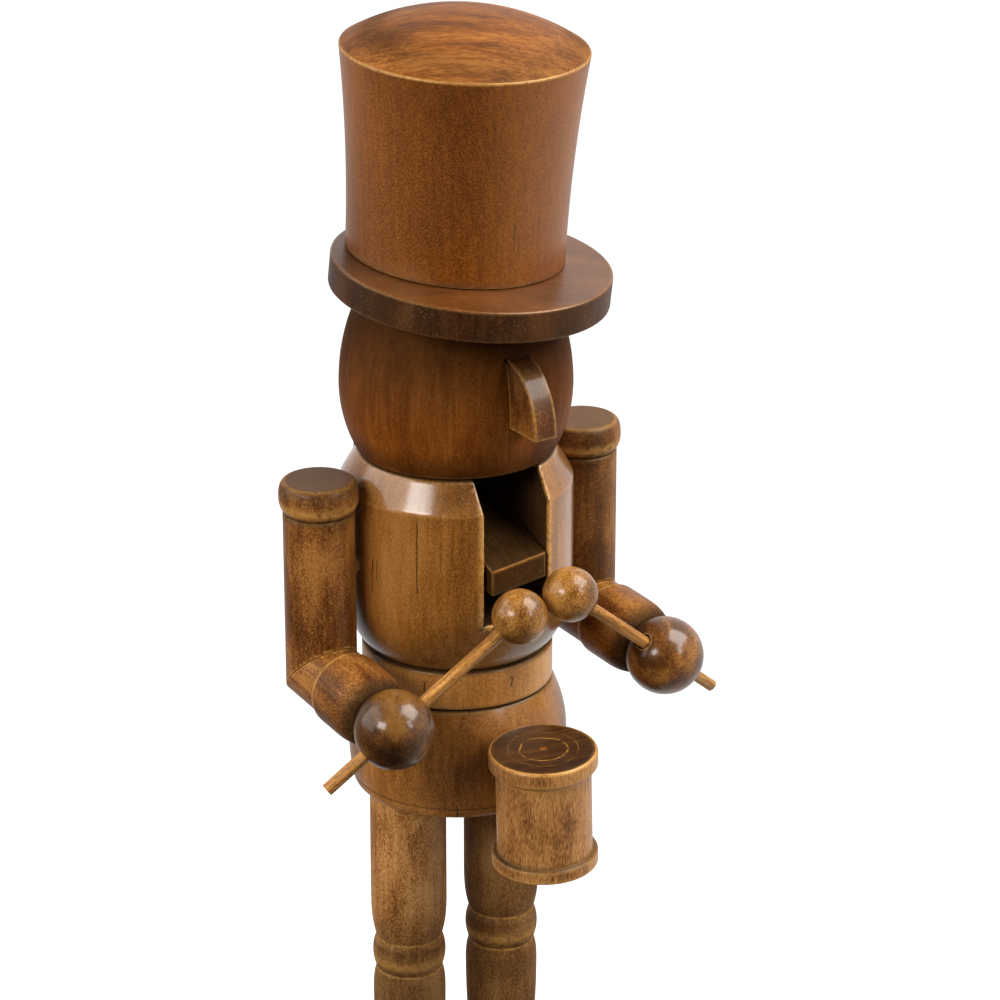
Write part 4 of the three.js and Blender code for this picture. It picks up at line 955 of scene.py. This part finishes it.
bm = bmesh.new()
profile = [(NOSE_SINK - HEAD - NOSE_LENGTH * cos(a), NOSE_HEIGHT * sin(a))
           for a in (pi / 2 * k / 18 for k in range(19))]
front = [bm.verts.new(Vector((-NOSE_WIDTH / 2, y, z)) * MM) for y, z in profile]
edges = [bm.edges.new(ends) for ends in zip(front, front[1:])]
for vert in new_verts(bmesh.ops.extrude_edge_only(bm, edges=edges)):
    radius = head_radius(NOSE_RISE + vert.co.z / MM) + NOSE_GAP
    vert.co.y = -sqrt(radius ** 2 - (NOSE_WIDTH / 2) ** 2) * MM
far = bmesh.ops.extrude_face_region(bm, geom=bm.faces[:])
bmesh.ops.translate(bm, vec=(NOSE_WIDTH * MM, 0, 0), verts=new_verts(far))
bmesh.ops.recalc_face_normals(bm, faces=bm.faces[:])
sanded(bm, 0.4, border=0.5)
piece("nose", bm, nose_wood, place=placed(0, 0, head_low + NOSE_RISE), dark=((NOSE_HEIGHT, 14, 0.7),))

# %% [markdown]
# ## Hat
# The brim is a thick disc, set forward on the head. The crown flares up to a crisp rim under a
# shallow dome, and stands a little out of square to the brim, so its foot is sawn along it. The
# brim's board lies flat, so its grain runs across, and its edge is dark with soaked stain. The
# dome's grain runs across too, which makes it streaked and duller than the flanks.

# %% Turn the brim
BOARD_GRAIN = (0.84, -0.54, 0)
# A flat board of birch: dark, even red-brown with a satin sheen.
brim_wood = stained("birch in walnut stain, brim", ("#381a05", "#512a0c", "#693d1a"), grain=BOARD_GRAIN,
                    fleck=0.2, worn_and_highlight=0.08, rough=0.36, coat=0.15)
# Its edge is end grain for the most part: nearly black and dull, with dust in its pores.
brim_edge = stained("birch end grain in dark stain, brim edge", ("#220e04", "#361a08", "#4c2b13"), size=8,
                    fleck=0.4, speck=0.12, worn_and_highlight=0.06, rough=0.5, shine=0.3, coat=0.0)
BRIM, BRIM_THICK, BRIM_FORWARD = 38.4, 8.7, 6.8
HAT_STEPS = 128
bm = turned([(0, 0), (BRIM, 0), (BRIM, BRIM_THICK), (0, BRIM_THICK)], HAT_STEPS)
sanded(bm, 0.6, border=0.3)
for face in bm.faces:
    if abs(face.normal.z) < 0.5:
        face.material_index = 1
piece("hat_brim", bm, brim_wood, brim_edge, place=hat_place @ placed(0, -BRIM_FORWARD, GLUE))

# %% Turn the crown
# Birch under satin varnish: fine, leathery mottling, with a golden haze on its flanks.
crown_wood = stained("birch in walnut stain, crown", ("#4b2102", "#673204", "#824812"), size=26, figure=3,
                     blotch=0.7, fibre=1.2, stretch=1.3, fleck=0.2, worn_and_highlight=0.45, shine=1.0, coat=0.0,
                     cracks=((-1, 296, 304, 0.12),))
# The same board across its grain: streaked, a little lighter and dull.
dome_wood = stained("birch across the grain in walnut stain, dome", ("#46230a", "#703d10", "#955e28"),
                    grain=BOARD_GRAIN, size=9, figure=5, streak=0.5, stretch=9, worn_and_highlight=0.45, rough=0.5,
                    shine=0.25, coat=0.0)
CROWN, RIM, CROWN_HEIGHT, DOME, CROWN_BACK = 30, 33.8, 57.2, 9.7, 1.7
CROWN_LEAN = (-1.9, -2)
seat = BRIM_THICK + 2 * GLUE
dome_radius = (RIM ** 2 + DOME ** 2) / (2 * DOME)
dome_low = asin((dome_radius - DOME) / dome_radius)
dome = [(dome_radius * cos(a), CROWN_HEIGHT + DOME - dome_radius + dome_radius * sin(a))
        for a in (dome_low + (pi / 2 - dome_low) * k / 24 for k in range(25))]
flare = bend((CROWN, 0), (CROWN, CROWN_HEIGHT / 2), (RIM, CROWN_HEIGHT), 40)
foot = -CROWN_BACK * 2
bm = turned([(0, foot), (CROWN, foot), *flare, *dome], HAT_STEPS)
sanded(bm, 0.4, border=0.3)
for face in bm.faces:
    if face.normal.z > 0.75:
        face.material_index = 1
crown_place = placed(0, CROWN_BACK, seat, *CROWN_LEAN)
bmesh.ops.transform(bm, matrix=crown_place, verts=bm.verts[:])
cut_off(bm, (0, 0, seat * MM), (0, 0, -1))
piece("hat_crown", bm, crown_wood, dome_wood, place=hat_place,
      dark=((seat, 1.2, 0.7), (seat + CROWN_HEIGHT + 3, 3.5, 0.5)))

# %% [markdown]
# ## Dowels
# The glued joints hide short dowels of bare beech. The pin that the jaw turns on is one too, but
# its ends show on the torso, so they were stained with it. These solids are already right, so they
# stay as they are and only get a finish.

# %% Finish the dowels
# Beech from the dowel mill, not finished: pale and dull.
dowel_wood = stained("bare beech dowel", ("#a57a48", "#c49a64", "#d9b683"), worn_and_highlight=0.0, rough=0.7, coat=0.0)
# Beech wiped with the torso's stain: brown, like the wood around it.
pin_wood = stained("beech pin in walnut stain", ("#4a290c", "#6f4417", "#8c5b26"), worn_and_highlight=0.0, rough=0.5)
dowels = {name: dowel_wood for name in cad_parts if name.endswith("_dowel")}
for name, wood in {**dowels, "jaw_pin": pin_wood}.items():
    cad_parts[name].data.materials.clear()
    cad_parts[name].data.materials.append(wood)
print(f"{len(dowels)} dowels and a pin")
